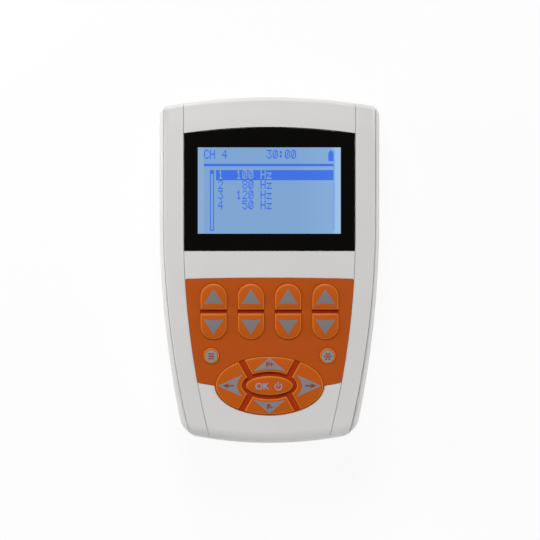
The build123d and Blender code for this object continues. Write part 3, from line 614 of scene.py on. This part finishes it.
socket = dict(
    edge=0.35,
    # how far in along the axis, and the radius: a collar and the bore, or a bare bore
    output=((0.5, 2.7), (-0.5, 2.7), (-0.5, 1.8), (-12.0, 1.8)),
    charge=((0.5, 3.4), (-0.4, 3.0), (-9.5, 3.0)),
)
for node in socketNodes:
    kind = node.split("_")[0]
    low, high = (Vector(corner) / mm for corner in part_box(node))
    made = box(node, low, high)
    bevelWhere(made, lambda m: m.y > high.y - 0.01, socket["edge"], 3)
    start = ((low.x + high.x) / 2, high.y, (low.z + high.z) / 2)
    combine(made, turned("mouth", start, 1, socket[kind]))
    tidyNormals(made)
    smooth(made)
    made.name = made.data.name = f"{kind}Socket{node[-1] if kind == 'output' else ''}"
    finished(made, [blackNylon], "case", "black_moulding", node)
print("screws, cells and connectors")

front = dict(
    seat=32.1,  # under the rails and the window
    rounds=(2.0, 0.5, 5.0),  # at the head, the sides and the foot
    corners=(1.0, 3.0), roundSteps=8, seamGap=0.34,
    # the edge over the rear shell: how far in at the ends, how high
    foot=((0.7, 26.85), (0.7, 27.9), (0.12, 27.98), (0.0, 28.1)),
    grooveGap=0.22, grooveEdge=0.15, openingEdge=0.15,
    # a slow fall of the face towards the head end: how far in from the rounding, how deep
    headFall=((1.5, 0.42), (4.0, 0.26), (7.0, 0.1), (10.0, 0.0)),
    fallShare=0.05,  # how much of it the sides and the foot take part in
    hollow=((-36, 14, 20), (36, 60, 30.4)),  # under the window
)


def coverRing(side, head, foot, drops):
    inset = case["seamInset"] + front["seamGap"] / 2 + side
    ring = caseOutline(inset, head, foot, case["seamRadius"], *front["corners"])
    return [
        (x, y, case["face"] - a * drops[0] - b * drops[1] - c * drops[2])
        for x, y, a, b, c in ring
    ]


# a step at the ends leaves a fine line above the rear shell
rings = [
    coverRing(0, inset, inset, (case["face"] - height,) * 3) for inset, height in front["foot"]
]
headRound, sideRound, footRound = front["rounds"]
for step in range(front["roundSteps"] + 1):
    turn = radians(90 * step / front["roundSteps"])
    inward, down = 1 - cos(turn), 1 - sin(turn)
    drops = (headRound * down + front["headFall"][0][1], sideRound * down, footRound * down)
    rings.append(coverRing(sideRound * inward, headRound * inward, footRound * inward, drops))
for inward, down in front["headFall"]:
    share = front["fallShare"] * inward
    rings.append(coverRing(sideRound + share, headRound + inward, footRound + share, (down, 0, 0)))
cover = loft("cover", rings)


def railRegion(side, inset, reach=92, step=2, out=70):
    # everything outside a groove, above the seat of the rails
    outline = [(side * (grooveAt(y) + inset), y) for y in range(reach, -reach - 1, -step)]
    outline += [(side * out, -reach), (side * out, reach)]
    return plate("railRegion", outline, front["seat"], overAll)


rails = []
for side, name in ((-1, "leftRail"), (1, "rightRail")):
    rail = copyOf(cover, name)
    combine(rail, railRegion(side, front["grooveGap"] / 2), "INTERSECT")
    rails.append(rail)
    combine(cover, railRegion(side, -front["grooveGap"] / 2))

window = dict(
    foot=9.05, head=66.0, radius=270.0,
    margin=0.25,  # from the middle of the groove
    footCorner=0.3, steps=32, pocketGap=0.26, edge=0.2, view=((-33.1, 16.9), (32.88, 56.7)),
)


def windowOutline(grow):
    half = case["groove"][0] - window["margin"] + grow
    foot, corner = window["foot"] - grow, window["footCorner"]
    radius = window["radius"] + grow
    centreY = window["head"] - window["radius"]
    points = [(-half + corner, foot), (half - corner, foot), (half, foot + corner)]
    for step in range(window["steps"] + 1):
        x = half * (1 - 2 * step / window["steps"])
        points.append((x, centreY + sqrt(radius**2 - x**2)))
    return points + [(-half, foot + corner)]


sink(cover, windowOutline(window["pocketGap"]), front["seat"])

pad = dict(
    head=-3.45, foot=-52.0, headRadius=1500.0, corner=1.2,
    footDrop=0.15,  # of its foot edge, inside the foot corners
    top=33.7, gap=0.08, openingRoom=0.2, edge=0.2, low=30.4, floor=31.7, bars=33.3,
)
ring = dict(
    y=-53.2, outer=(24.9, 13.4), inner=(12.6, 6.25), ok=(10.9, 4.5),
    bar=2.6, barX=6.6, barTurn=60.8, margin=0.45,
)


def padOutline(headSteps=16, cornerSteps=6, sideSteps=24, ovalSteps=40):
    # right half from the head down to the foot of the oval, then its mirror image
    corner, low = pad["corner"], pad["foot"]

    def headY(x):
        return pad["head"] - pad["headRadius"] + sqrt(pad["headRadius"] ** 2 - x**2)

    half = grooveAt(pad["head"])
    points = []
    for step in range(headSteps):
        x = (half - corner) * step / headSteps
        points.append((x, headY(x)))
    cornerY = headY(half)
    sideTop = (grooveAt(cornerY - corner), cornerY - corner)
    headEnd = (half - corner, headY(half - corner))
    points += cornerArc(headEnd, (half, cornerY), sideTop, cornerSteps)
    for step in range(1, sideSteps):
        y = cornerY - corner + (low + corner - cornerY + corner) * step / sideSteps
        points.append((grooveAt(y), y))
    lowX = grooveAt(low)
    sideFoot = (grooveAt(low + corner), low + corner)
    footEnd = (lowX - corner, low - pad["footDrop"])
    points += cornerArc(sideFoot, (lowX, low), footEnd, cornerSteps)
    across, along = (size + ring["margin"] for size in ring["outer"])
    # from just under the widest place of the oval down to its foot
    for step in range(ovalSteps + 1):
        turn = radians(-0.5 - 89.5 * step / ovalSteps)
        points.append((across * cos(turn), ring["y"] + along * sin(turn)))
    return points + [(-x, y) for x, y in reversed(points[1:-1])]


sink(cover, shrink(padOutline(), -pad["gap"]), pad["low"] - pad["openingRoom"])
cutBox(cover, *front["hollow"])


def onGroove(middle):
    away = abs(abs(middle.x) - grooveAt(middle.y)) - front["grooveGap"] / 2
    return middle.z > front["seat"] + 0.1 and abs(away) < 0.06


def onOpening(middle):
    return middle.z > 33.3 and abs(middle.x) < grooveAt(middle.y) - 0.4 and -68 < middle.y < 67


bevelWhere(cover, onGroove, front["grooveEdge"], 2, 25)
bevelWhere(cover, onOpening, front["openingEdge"], 2, 50)
cover.name = cover.data.name = "frontCover"
tidyNormals(cover)
smooth(cover, 32)
finished(cover, [caseAbs], "case", "case_plastic", "front_shell")
for rail, node in zip(rails, ("left_side_trim", "right_side_trim")):
    bevelWhere(rail, onGroove, front["grooveEdge"], 2, 25)
    tidyNormals(rail)
    smooth(rail, 32)
    finished(rail, [railAbs], "case", "rail_plastic", node)
print("front cover and rails")

border = plate("windowBorder", windowOutline(0), front["seat"], case["face"], window["edge"], 3)
viewLow, viewHigh = window["view"]
cutBox(border, (*viewLow, 20), (*viewHigh, overAll))
smooth(border, 30)
finished(border, [blackGloss], "case", "black_print", "display_window", "display_mask")

dots = dict(
    columns=128, rows=64, field=((-30.3, 18.2), (29.5, 55.6)),
    rim=0.015,  # between dots
    face=33.46, height=0.02,
    # text, first column, first row
    lines=(
        ("CH 4", 0, 0), ("30:00", 62, 0),
        ("2   80 Hz", 14, 24), ("3  120 Hz", 14, 32), ("4   50 Hz", 14, 40),
    ),
    chosen=("1  100 Hz", 14, 16),
)
# five dots to a row, seven rows
glyphs = {
    "0": "0e 13 15 15 15 19 0e",
    "1": "04 0c 04 04 04 04 0e",
    "2": "0e 11 01 02 04 08 1f",
    "3": "1f 02 04 02 01 11 0e",
    "4": "02 06 0a 12 1f 02 02",
    "5": "1f 10 1e 01 01 11 0e",
    "8": "0e 11 11 0e 11 11 0e",
    "C": "0e 11 10 10 10 11 0e",
    "H": "11 11 11 1f 11 11 11",
    "z": "00 00 1f 02 04 08 1f",
    ":": "00 0c 0c 00 0c 0c 00",
    " ": "00 00 00 00 00 00 00",
}


def written(text, column, row):
    return {
        (column + 6 * place + across, row + down)
        for place, letter in enumerate(text)
        for down, bits in enumerate(glyphs[letter].split())
        for across in range(5)
        if int(bits, 16) >> (4 - across) & 1
    }


def area(firstColumn, column, firstRow, row):
    # a block of dots up to a column and a row
    return {(c, r) for c in range(firstColumn, column) for r in range(firstRow, row)}


lit = set().union(*(written(*line) for line in dots["lines"]))
lit |= area(0, 128, 11, 13)  # line under the header
lit |= area(123, 128, 2, 9) | area(124, 127, 1, 2) | area(125, 126, 0, 1)  # battery
lit |= area(12, 128, 16, 24) - written(*dots["chosen"])
lit |= area(6, 10, 16, 64) - area(7, 9, 19, 63)  # scroll bar: a frame with a slit


def emitting(name, colour, edge):
    # a backlit liquid crystal, a little brighter towards one side of the view
    material, tree = blank(name)
    place = addNode(tree, "TexCoord").outputs["Object"]
    across = addNode(tree, "SeparateXYZ", links={"Vector": place})
    limits = {"From Min": 12 * mm, "From Max": 34 * mm}
    share = addNode(tree, "MapRange", limits, {"Value": across})
    tones = {"data_type": "RGBA", 6: linear(colour), 7: linear(edge)}
    tone = addNode(tree, "Mix", tones, {0: share}).outputs[2]
    # dark by itself, under smooth glass
    glass = {"Base Color": (0.02, 0.02, 0.02, 1), "Roughness": 0.12, "Specular IOR Level": 0.3}
    glass["Emission Strength"] = 0.97
    shader = addNode(tree, "BsdfPrincipled", glass, {"Emission Color": tone})
    addNode(tree, "OutputMaterial", links={"Surface": shader})
    return material


litMargin = emitting("backlitMargin", "#8babd3", "#9cc2ea")
litCrystal = emitting("backlitCrystal", "#7ca4d2", "#86aedb")
idleCrystal = emitting("idleCrystal", "#689fe8", "#689fe8")
darkCrystal = emitting("darkCrystal", "#2f69e6", "#346ee6")

# under the dots: the margin, the field of the dots, and an idle column beside it
(left, foot), (right, head) = dots["field"]
seat, top = front["seat"], dots["face"]
rest = right + 0.02
for name, low, high, edge, material in (
    ("displayFace", (*viewLow, seat + 0.1), (*viewHigh, top - 0.01), 0.02, litMargin),
    ("displayField", (left, viewLow[1] + 0.03), (right, viewHigh[1] - 0.03), 0.005, litCrystal),
    ("displayColumn", (rest, foot), (rest + 0.5, head), 0.005, idleCrystal),
):
    made = box(name, (*low, seat + 0.2)[:3], (*high, top)[:3])
    bevelWhere(made, lambda m: m.z > 33.4, edge, 1)
    finished(made, [material], "case", "lit_display")

deselectAll()
spanX, spanY = right - left, head - foot
bpy.ops.mesh.primitive_grid_add(
    x_subdivisions=dots["columns"],
    y_subdivisions=dots["rows"],
    size=1,
    location=((left + spanX / 2) * mm, (foot + spanY / 2) * mm, top * mm),
)
crystal = named("displayDots")
crystal.scale = (spanX * mm, spanY * mm, 1)
settle(crystal)
edit(crystal, "DESELECT")
mesh = bmesh.from_edit_mesh(crystal.data)
for square in mesh.faces:
    middle = square.calc_center_median() / mm
    column = int((middle.x - left) / spanX * dots["columns"])
    row = int((head - middle.y) / spanY * dots["rows"])
    square.select_set((column, row) not in lit)
bmesh.update_edit_mesh(crystal.data)
bpy.ops.mesh.delete(type="FACE")
bpy.ops.mesh.select_all(action="SELECT")
bpy.ops.mesh.inset(use_individual=True, thickness=dots["rim"] / 2 * mm)
bpy.ops.mesh.select_all(action="INVERT")
bpy.ops.mesh.delete(type="FACE")
bpy.ops.mesh.select_all(action="SELECT")
bpy.ops.mesh.extrude_region_move(TRANSFORM_OT_translate={"value": (0, 0, dots["height"] * mm)})
tidyNormals(crystal)
finished(crystal, [darkCrystal], "case", "lit_display")
print("display", len(lit), "dots")

columns = [(n - 1.5) * 17.2 for n in range(4)]
channel = dict(
    width=12.3, length=25.9, y=-19.05, split=1.6,
    # a web at the foot of each split
    web=33.1, webGap=0.1, webEnd=0.5, webDepth=0.3, upApex=-8.6, downApex=-29.85,
    triangle=(9.2, 7.2, 0.35),  # width, height and how far its base bows, here and below
)
roundKey = dict(x=26.9, y=-39.5, radius=3.75, disc=2.85, discDrop=0.2)
keyFoot = 32.9
keyGap = 0.08
ovalGap = keyGap + 0.03  # a touch wider than the wells of the keys, so that no walls coincide
# how high each kind of key stands, the two radii of its crown, and how finely it is sliced
keyKinds = dict(
    channel=dict(top=34.9, across=70.0, along=42.0, spacing=1.4),
    ring=dict(top=34.75, across=500.0, along=110.0, spacing=1.6),
    ok=dict(top=34.9, across=180.0, along=45.0, spacing=1.3),
    round=dict(top=34.4, across=40.0, along=40.0, spacing=1.2),
)
# inset, and the share of the height above the mat: wall, the thin edge that carries a painted
# highlight, then the top
keyProfile = ((0.0, 0.0), (0.06, 0.3), (0.14, 0.55), (0.27, 0.74),
              (0.52, 0.88), (1.0, 0.97), (1.6, 1.0))
# the faces between these shares carry the painted highlight
paintedHighlightShares = (0.73, 0.87)  # the light edge lies between these


def channelEnd(x, direction, grow, steps):
    # the round end of a pair of channel keys
    half, reach = channel["width"] / 2 + grow, (channel["length"] - channel["width"]) / 2
    turns = [pi * step / steps for step in range(steps + 1)]
    return [
        (x + direction * half * cos(t), channel["y"] + direction * (reach + half * sin(t)))
        for t in turns
    ]


def halfOutline(direction):
    # one key of a pair, cut straight at the split
    half, cut = channel["width"] / 2, channel["y"] + direction * channel["split"] / 2
    return [(-half * direction, cut), (half * direction, cut), *channelEnd(0, direction, 0, 32)]


def ringOutline(name, grow=0.0, steps=36, rounds=40):
    # a navigation key between two ovals and two slanting bars
    turn = radians(ring["barTurn"])
    upright = name in ("plus", "minus")
    outer = [size + grow for size in ring["outer"]]
    inner = [size - grow for size in ring["inner"]]
    edge = (ring["bar"] / 2 - grow) * (1 if upright else -1)

    def start(oval):
        # where the key's side of the bar crosses an oval
        low, high = 0.0, pi / 2
        for _ in range(rounds):
            t = (low + high) / 2
            x, y = oval[0] * cos(t) - ring["barX"], oval[1] * sin(t)
            if y * cos(turn) - x * sin(turn) > edge:
                high = t
            else:
                low = t
        return low

    points = []
    for oval, back in ((outer, False), (inner, True)):
        limit = start(oval)
        first, last = (limit, pi - limit) if upright else (-limit, limit)
        for step in range(steps + 1):
            t = first + (last - first) * (steps - step if back else step) / steps
            points.append((oval[0] * cos(t), oval[1] * sin(t)))
    across = -1 if name == "left" else 1
    along = -1 if name == "minus" else 1
    return [(x * across, ring["y"] + y * along) for x, y in points]


def roundOutline(side, grow=0.0):
    radius = roundKey["radius"] + grow
    return ellipse(radius, radius, (side * roundKey["x"], roundKey["y"]), 56)


def okOutline(grow=0.0):
    return ellipse(*(size + grow for size in ring["ok"]), (0, ring["y"]))


mat = plate("keypadMat", padOutline(), pad["low"], pad["top"], pad["edge"])
sink(mat, ellipse(*(size + ovalGap for size in ring["outer"]), (0, ring["y"])), pad["bars"])
wells = [channelEnd(x, 1, keyGap, 20) + channelEnd(x, -1, keyGap, 20) for x in columns]
wells += [roundOutline(side, keyGap) for side in (-1, 1)]
wells += [ringOutline(name, keyGap) for name in ("plus", "minus", "left", "right")]
wells.append(okOutline(keyGap))
for well in wells:
    sink(mat, well, pad["floor"])
webHalf = channel["width"] / 2 + channel["webEnd"]
webReach = channel["split"] / 2 - channel["webGap"]
for x in columns:
    low = (x - webHalf, channel["y"] - webReach, pad["floor"] - channel["webDepth"])
    high = (x + webHalf, channel["y"] + webReach, channel["web"])
    combine(mat, box("web", low, high), "UNION")
tidyNormals(mat)
smooth(mat)
finished(mat, (matSilicone, wellSiliconePaintedShade), "case", "orange_silicone", "keypad_mat")
# faces below the top of the bars take the painted shade of the wells
for surface in mat.data.polygons:
    surface.material_index = int(surface.center.z < (pad["bars"] + 0.05) * mm)
print("keypad mat")


def crown(piece, centre, kind, under=0.0, rootDepth=0.3):
    # lowers a key or its print away from the centre, and the walls in proportion
    shape = keyKinds[kind]
    foot, top = pad["top"] - rootDepth, shape["top"] - under
    for vertex in piece.data.vertices:
        x, y, z = vertex.co / mm
        drop = (x - centre[0]) ** 2 / (2 * shape["across"])
        drop += (y - centre[1]) ** 2 / (2 * shape["along"])
        share = min(max((z - foot) / (top - foot), 0), 1)
        vertex.co.z -= drop * share * mm


def sliced(piece, kind):
    # cuts faces along a grid, so that a flat top can be crowned
    spacing = keyKinds[kind]["spacing"] * mm
    places = [[v.co[axis] for v in piece.data.vertices] for axis in (0, 1)]
    edit(piece, "SELECT")
    for axis, line in enumerate(places):
        low, span = min(line), max(line) - min(line)
        count = int(span / spacing)
        for cut in range(1, count + 1):
            place = [0.0, 0.0, 0.0]
            place[axis] = low + span * cut / (count + 1)
            bpy.ops.mesh.select_all(action="SELECT")
            bpy.ops.mesh.bisect(plane_co=place, plane_no=(axis == 0, axis == 1, 0))
    bpy.ops.object.mode_set(mode="OBJECT")


def keyCap(name, outline, kind, centre):
    # a soft key: a steep wall, a thin edge with a painted highlight, and a crowned top
    rise = keyKinds[kind]["top"] - pad["top"]
    rings = [level(outline, keyFoot)]
    rings += [level(shrink(outline, i), pad["top"] + rise * share) for i, share in keyProfile]
    cap = loft(name, rings)
    # the faces of the thin edge take the painted highlight
    low, high = (pad["top"] + rise * share for share in paintedHighlightShares)
    for face in cap.data.polygons:
        if low < face.center.z / mm < high:
            face.material_index = 1
    sliced(cap, kind)
    crown(cap, centre, kind)
    tidyNormals(cap)
    smooth(cap, 40)
    return cap


# how far a print reaches below and above the top of its key, and what its crown starts under;
# marks lie over it, each a little higher than the last
inkLayer = dict(below=0.08, above=0.03, under=0.1, letter=0.06, mark=0.05, step=0.004)


def printed(outline, kind, centre, lift=0.0):
    # a thin layer of ink that follows the crown of a key
    top = keyKinds[kind]["top"]
    ink = plate("ink", outline, top - inkLayer["below"] + lift, top + inkLayer["above"] + lift)
    sliced(ink, kind)
    crown(ink, centre, kind, inkLayer["under"])
    return ink


def marked(outlines, kind, centre):
    lifts = [inkLayer["mark"] + inkLayer["step"] * place for place in range(len(outlines))]
    return [printed(line, kind, centre, lift) for line, lift in zip(outlines, lifts)]


def lettered(text, size, bold, place, kind, centre, lift=0.0):
    deselectAll()
    height = (keyKinds[kind]["top"] + lift) * mm
    bpy.ops.object.text_add(location=(place[0] * mm, place[1] * mm, height))
    letters = bpy.context.object.data
    letters.body = text
    letters.size = size * mm
    letters.align_x = letters.align_y = "CENTER"
    letters.extrude = inkLayer["letter"] / 2 * mm
    letters.offset = bold * mm
    bpy.ops.object.convert(target="MESH")
    ink = named("ink")
    settle(ink)
    tidyNormals(ink)
    crown(ink, centre, kind, inkLayer["under"])
    return ink


def ridden(key, node, slot="orange_silicone"):
    finished(key, [], f"{node}_button", slot, f"{node}_key")


def makeKey(name, cap, prints, marks=(), ink=silverInk):
    # joins a cap with its prints and the marks left open in them
    for piece, index in [(cap, 0)] + [(p, 2) for p in prints] + [(m, 3) for m in marks]:
        coat(piece, (silicone, edgePaintedHighlight, ink, inkGap))
        if index:
            for face in piece.data.polygons:
                face.material_index = index
    return joined([cap, *prints, *marks], name)


def bar(first, last, half):
    # a straight stroke between two points
    a, b = Vector(first), Vector(last)
    ahead = (b - a).normalized()
    beside = Vector((-ahead.y, ahead.x)) * half
    return [tuple(p) for p in (b + beside, a + beside, a - beside, b - beside)]


def hollowed(apex, width, height, bow, along=1, across=0, steps=12, power=2.0):
    # a triangle whose base bows in towards its apex; along or across is where the apex points
    points = [apex]
    for step in range(steps + 1):
        t = -1 + 2 * step / steps
        back = -height + bow * (1 - abs(t) ** power)
        side = t * width / 2
        x, y = across * back - along * side, along * back + across * side
        points.append((apex[0] + x, apex[1] + y))
    return points


for direction, name in ((1, "up"), (-1, "down")):
    apex = (0.0, channel[f"{name}Apex"])
    centre = (0.0, channel["y"] + direction * channel["length"] / 4)
    cap = keyCap(name, halfOutline(direction), "channel", centre)
    ink = printed(hollowed(apex, *channel["triangle"], direction), "channel", centre)
    half = makeKey(name, cap, [ink])
    for number, x in enumerate(columns, start=1):
        key = copyOf(half, f"channel{number}{name.capitalize()}Key")
        key.location.x = x * mm
        settle(key)
        ridden(key, f"channel_{number}_{name}")
    bpy.data.objects.remove(half, do_unlink=True)
print("channel keys")

# the marks of the round keys: a list of three bars, and a star of six rays round a dot
listMark = dict(rows=(-1.1, 0, 1.1), half=1.35, stroke=0.26)
starMark = dict(rays=6, near=0.7, far=1.85, stroke=0.29, dot=0.45)
for side, name in ((-1, "list"), (1, "menu")):
    centre = (side * roundKey["x"], roundKey["y"])
    cap = keyCap(name, roundOutline(side), "round", centre)
    spot = Vector((centre[0], centre[1] - roundKey["discDrop"]))
    disc = printed(ellipse(roundKey["disc"], roundKey["disc"], spot, 40), "round", centre)
    if name == "list":
        left, right = spot.x - listMark["half"], spot.x + listMark["half"]
        rows = [spot.y + row for row in listMark["rows"]]
        strokes = [bar((left, y), (right, y), listMark["stroke"]) for y in rows]
    else:
        turns = [t * pi / (starMark["rays"] / 2) for t in range(starMark["rays"])]
        rays = [Vector((cos(turn), sin(turn))) for turn in turns]
        near, far = starMark["near"], starMark["far"]
        strokes = [bar(spot + ray * near, spot + ray * far, starMark["stroke"]) for ray in rays]
        strokes.append(ellipse(starMark["dot"], starMark["dot"], spot, 12))
    marks = marked(strokes, "round", centre)
    ridden(makeKey(f"{name}Key", cap, [disc], marks, discInk), name, "grey_silicone")
print("round keys")

middle = (0.0, ring["y"])
# a triangle with an arrow left open in it
sideMark = dict(
    apex=24.1, triangle=(10.1, 11.5, 2.4), power=1.7, drop=0.1, arrowApex=21.7,
    arrow=(2.1, 2.6, 0), tail=(16.5, 19.2), stroke=0.3,
)
# a flat triangle with letters left open in it
endMark = dict(
    apex=12.95, triangle=(15.0, 6.4, 1.0), plus=("P+", 9.6), minus=("P-", -9.85), size=3.1,
    bold=0.12, x=0.1, lift=0.06,
)
for name, side in (("plus", 1), ("minus", -1), ("left", -1), ("right", 1)):
    cap = keyCap(name, ringOutline(name), "ring", middle)
    if name in endMark:
        apex = (0.0, ring["y"] + side * endMark["apex"])
        ink = printed(hollowed(apex, *endMark["triangle"], side), "ring", middle)
        text, y = endMark[name]
        place, size, bold = (endMark["x"], ring["y"] + y), endMark["size"], endMark["bold"]
        marks = [lettered(text, size, bold, place, "ring", middle, endMark["lift"])]
    else:
        y = ring["y"] - sideMark["drop"]
        shape = hollowed(
            (side * sideMark["apex"], y), *sideMark["triangle"], 0, side, 12, sideMark["power"]
        )
        ink = printed(shape, "ring", middle)
        arrow = hollowed((side * sideMark["arrowApex"], y), *sideMark["arrow"], 0, side, 2)
        first, last = ((side * x, y) for x in sideMark["tail"])
        marks = marked([arrow, bar(first, last, sideMark["stroke"])], "ring", middle)
    ridden(makeKey(f"{name}Key", cap, [ink], marks, paleInk), name)

# a power mark, an open ring and a bar, beside the letters
okMark = dict(
    x=4.1, drop=0.45, ring=(1.8, 1.3), bar=(0.1, 2.0), stroke=0.24, size=4.25, bold=0.06,
    textX=-3.45,
)
cap = keyCap("okCap", okOutline(), "ok", middle)
x, y = okMark["x"], ring["y"] - okMark["drop"]
turns = [radians(turn) for turn in range(130, 411, 10)]
outer, inner = okMark["ring"]
powerRing = [
    (x + radius * cos(turn), y + radius * sin(turn))
    for radius, path in ((outer, turns), (inner, turns[::-1]))
    for turn in path
]
low, high = okMark["bar"]
powerBar = bar((x, y + low), (x, y + high), okMark["stroke"])
prints = [printed(shape, "ok", middle) for shape in (powerRing, powerBar)]
prints.append(lettered("OK", okMark["size"], okMark["bold"], (okMark["textX"], y), "ok", middle))
ridden(makeKey("okKey", cap, prints, ink=brightInk), "ok")
print("navigation keys")

# the carried parts that no piece replaces; what isn't named here is black nylon
finishes = {
    "display_gasket": blackFoam,
    "lcd_frame": platedSteel,
    "lcd_glass": blackGloss,
    "lcd_backlight": whiteGuide,
    "lcd_board": boardGreen,
    "key_board": boardGreen,
    "main_board": boardGreen,
    "battery_contacts": platedSteel,
    "charge_pin": platedBrass,
}
for name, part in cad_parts.items():
    part.data.materials.clear()
    coat(part, [finishes.get(name, blackNylon)])
print("finishes")

deselectAll()
bpy.ops.mesh.primitive_plane_add(size=6, location=(0, 0, -0.15 * mm))
floor = named("floor")
# matt paper that keeps a shadow, and looks white to the camera and in reflections
paper, tree = blank("paleBackdropPaper")
sight = addNode(tree, "LightPath").outputs
sheet = addNode(tree, "BsdfDiffuse", {"Color": linear("#f4f4f4")})
white = addNode(tree, "Emission", {"Color": (1, 1, 1, 1), "Strength": 1.0})
rays = {0: sight["Is Camera Ray"], 1: sight["Is Glossy Ray"]}
seen = addNode(tree, "Math", {"operation": "MAXIMUM"}, rays)
share = addNode(tree, "Math", {"operation": "MULTIPLY", 1: 0.9}, {0: seen})
mixed = addNode(tree, "MixShader", links={0: share, 1: sheet, 2: white})
addNode(tree, "OutputMaterial", links={"Surface": mixed})
coat(floor, [paper])

world = bpy.data.worlds.new("softRoom")
world.use_nodes = True
sky = world.node_tree.nodes["Background"].inputs
sky["Color"].default_value = (1, 1, 1, 1)
sky["Strength"].default_value = 0.06
bpy.context.scene.world = world

# name, place, size, power in watts; all face a spot inside the unit
lamps = (
    ("keyLight", (-0.1, 0.8, 0.75), 0.6, 8.9),
    ("leftLight", (-0.5, 0.12, 0.2), 0.3, 1.6),
    ("rightLight", (0.8, 0.0, 0.18), 0.3, 2.7),
    ("footLight", (0.05, -0.45, 0.2), 0.3, 0.85),
)
target = Vector((0, 0, 0.02))
for name, place, size, watts in lamps:
    deselectAll()
    bpy.ops.object.light_add(type="AREA", location=place)
    lamp = bpy.context.object
    lamp.name = name
    lamp.data.size = size
    lamp.data.energy = watts
    lamp.rotation_euler = (target - Vector(place)).to_track_quat("-Z", "Y").to_euler()

# the camera's height, and the plane and width that fill its view
view = dict(height=1.5, plane=0.030, span=0.2499, x=0.00023, y=0.00012, sensor=36)
deselectAll()
bpy.ops.object.camera_add(location=(view["x"], view["y"], view["height"]), rotation=(0, 0, 0))
camera = bpy.context.object
camera.data.sensor_width = view["sensor"]
camera.data.lens = view["sensor"] * (view["height"] - view["plane"]) / view["span"]
camera.data.clip_end = 20
bpy.context.scene.camera = camera
bpy.context.scene.view_settings.view_transform = "Standard"
print("stage")
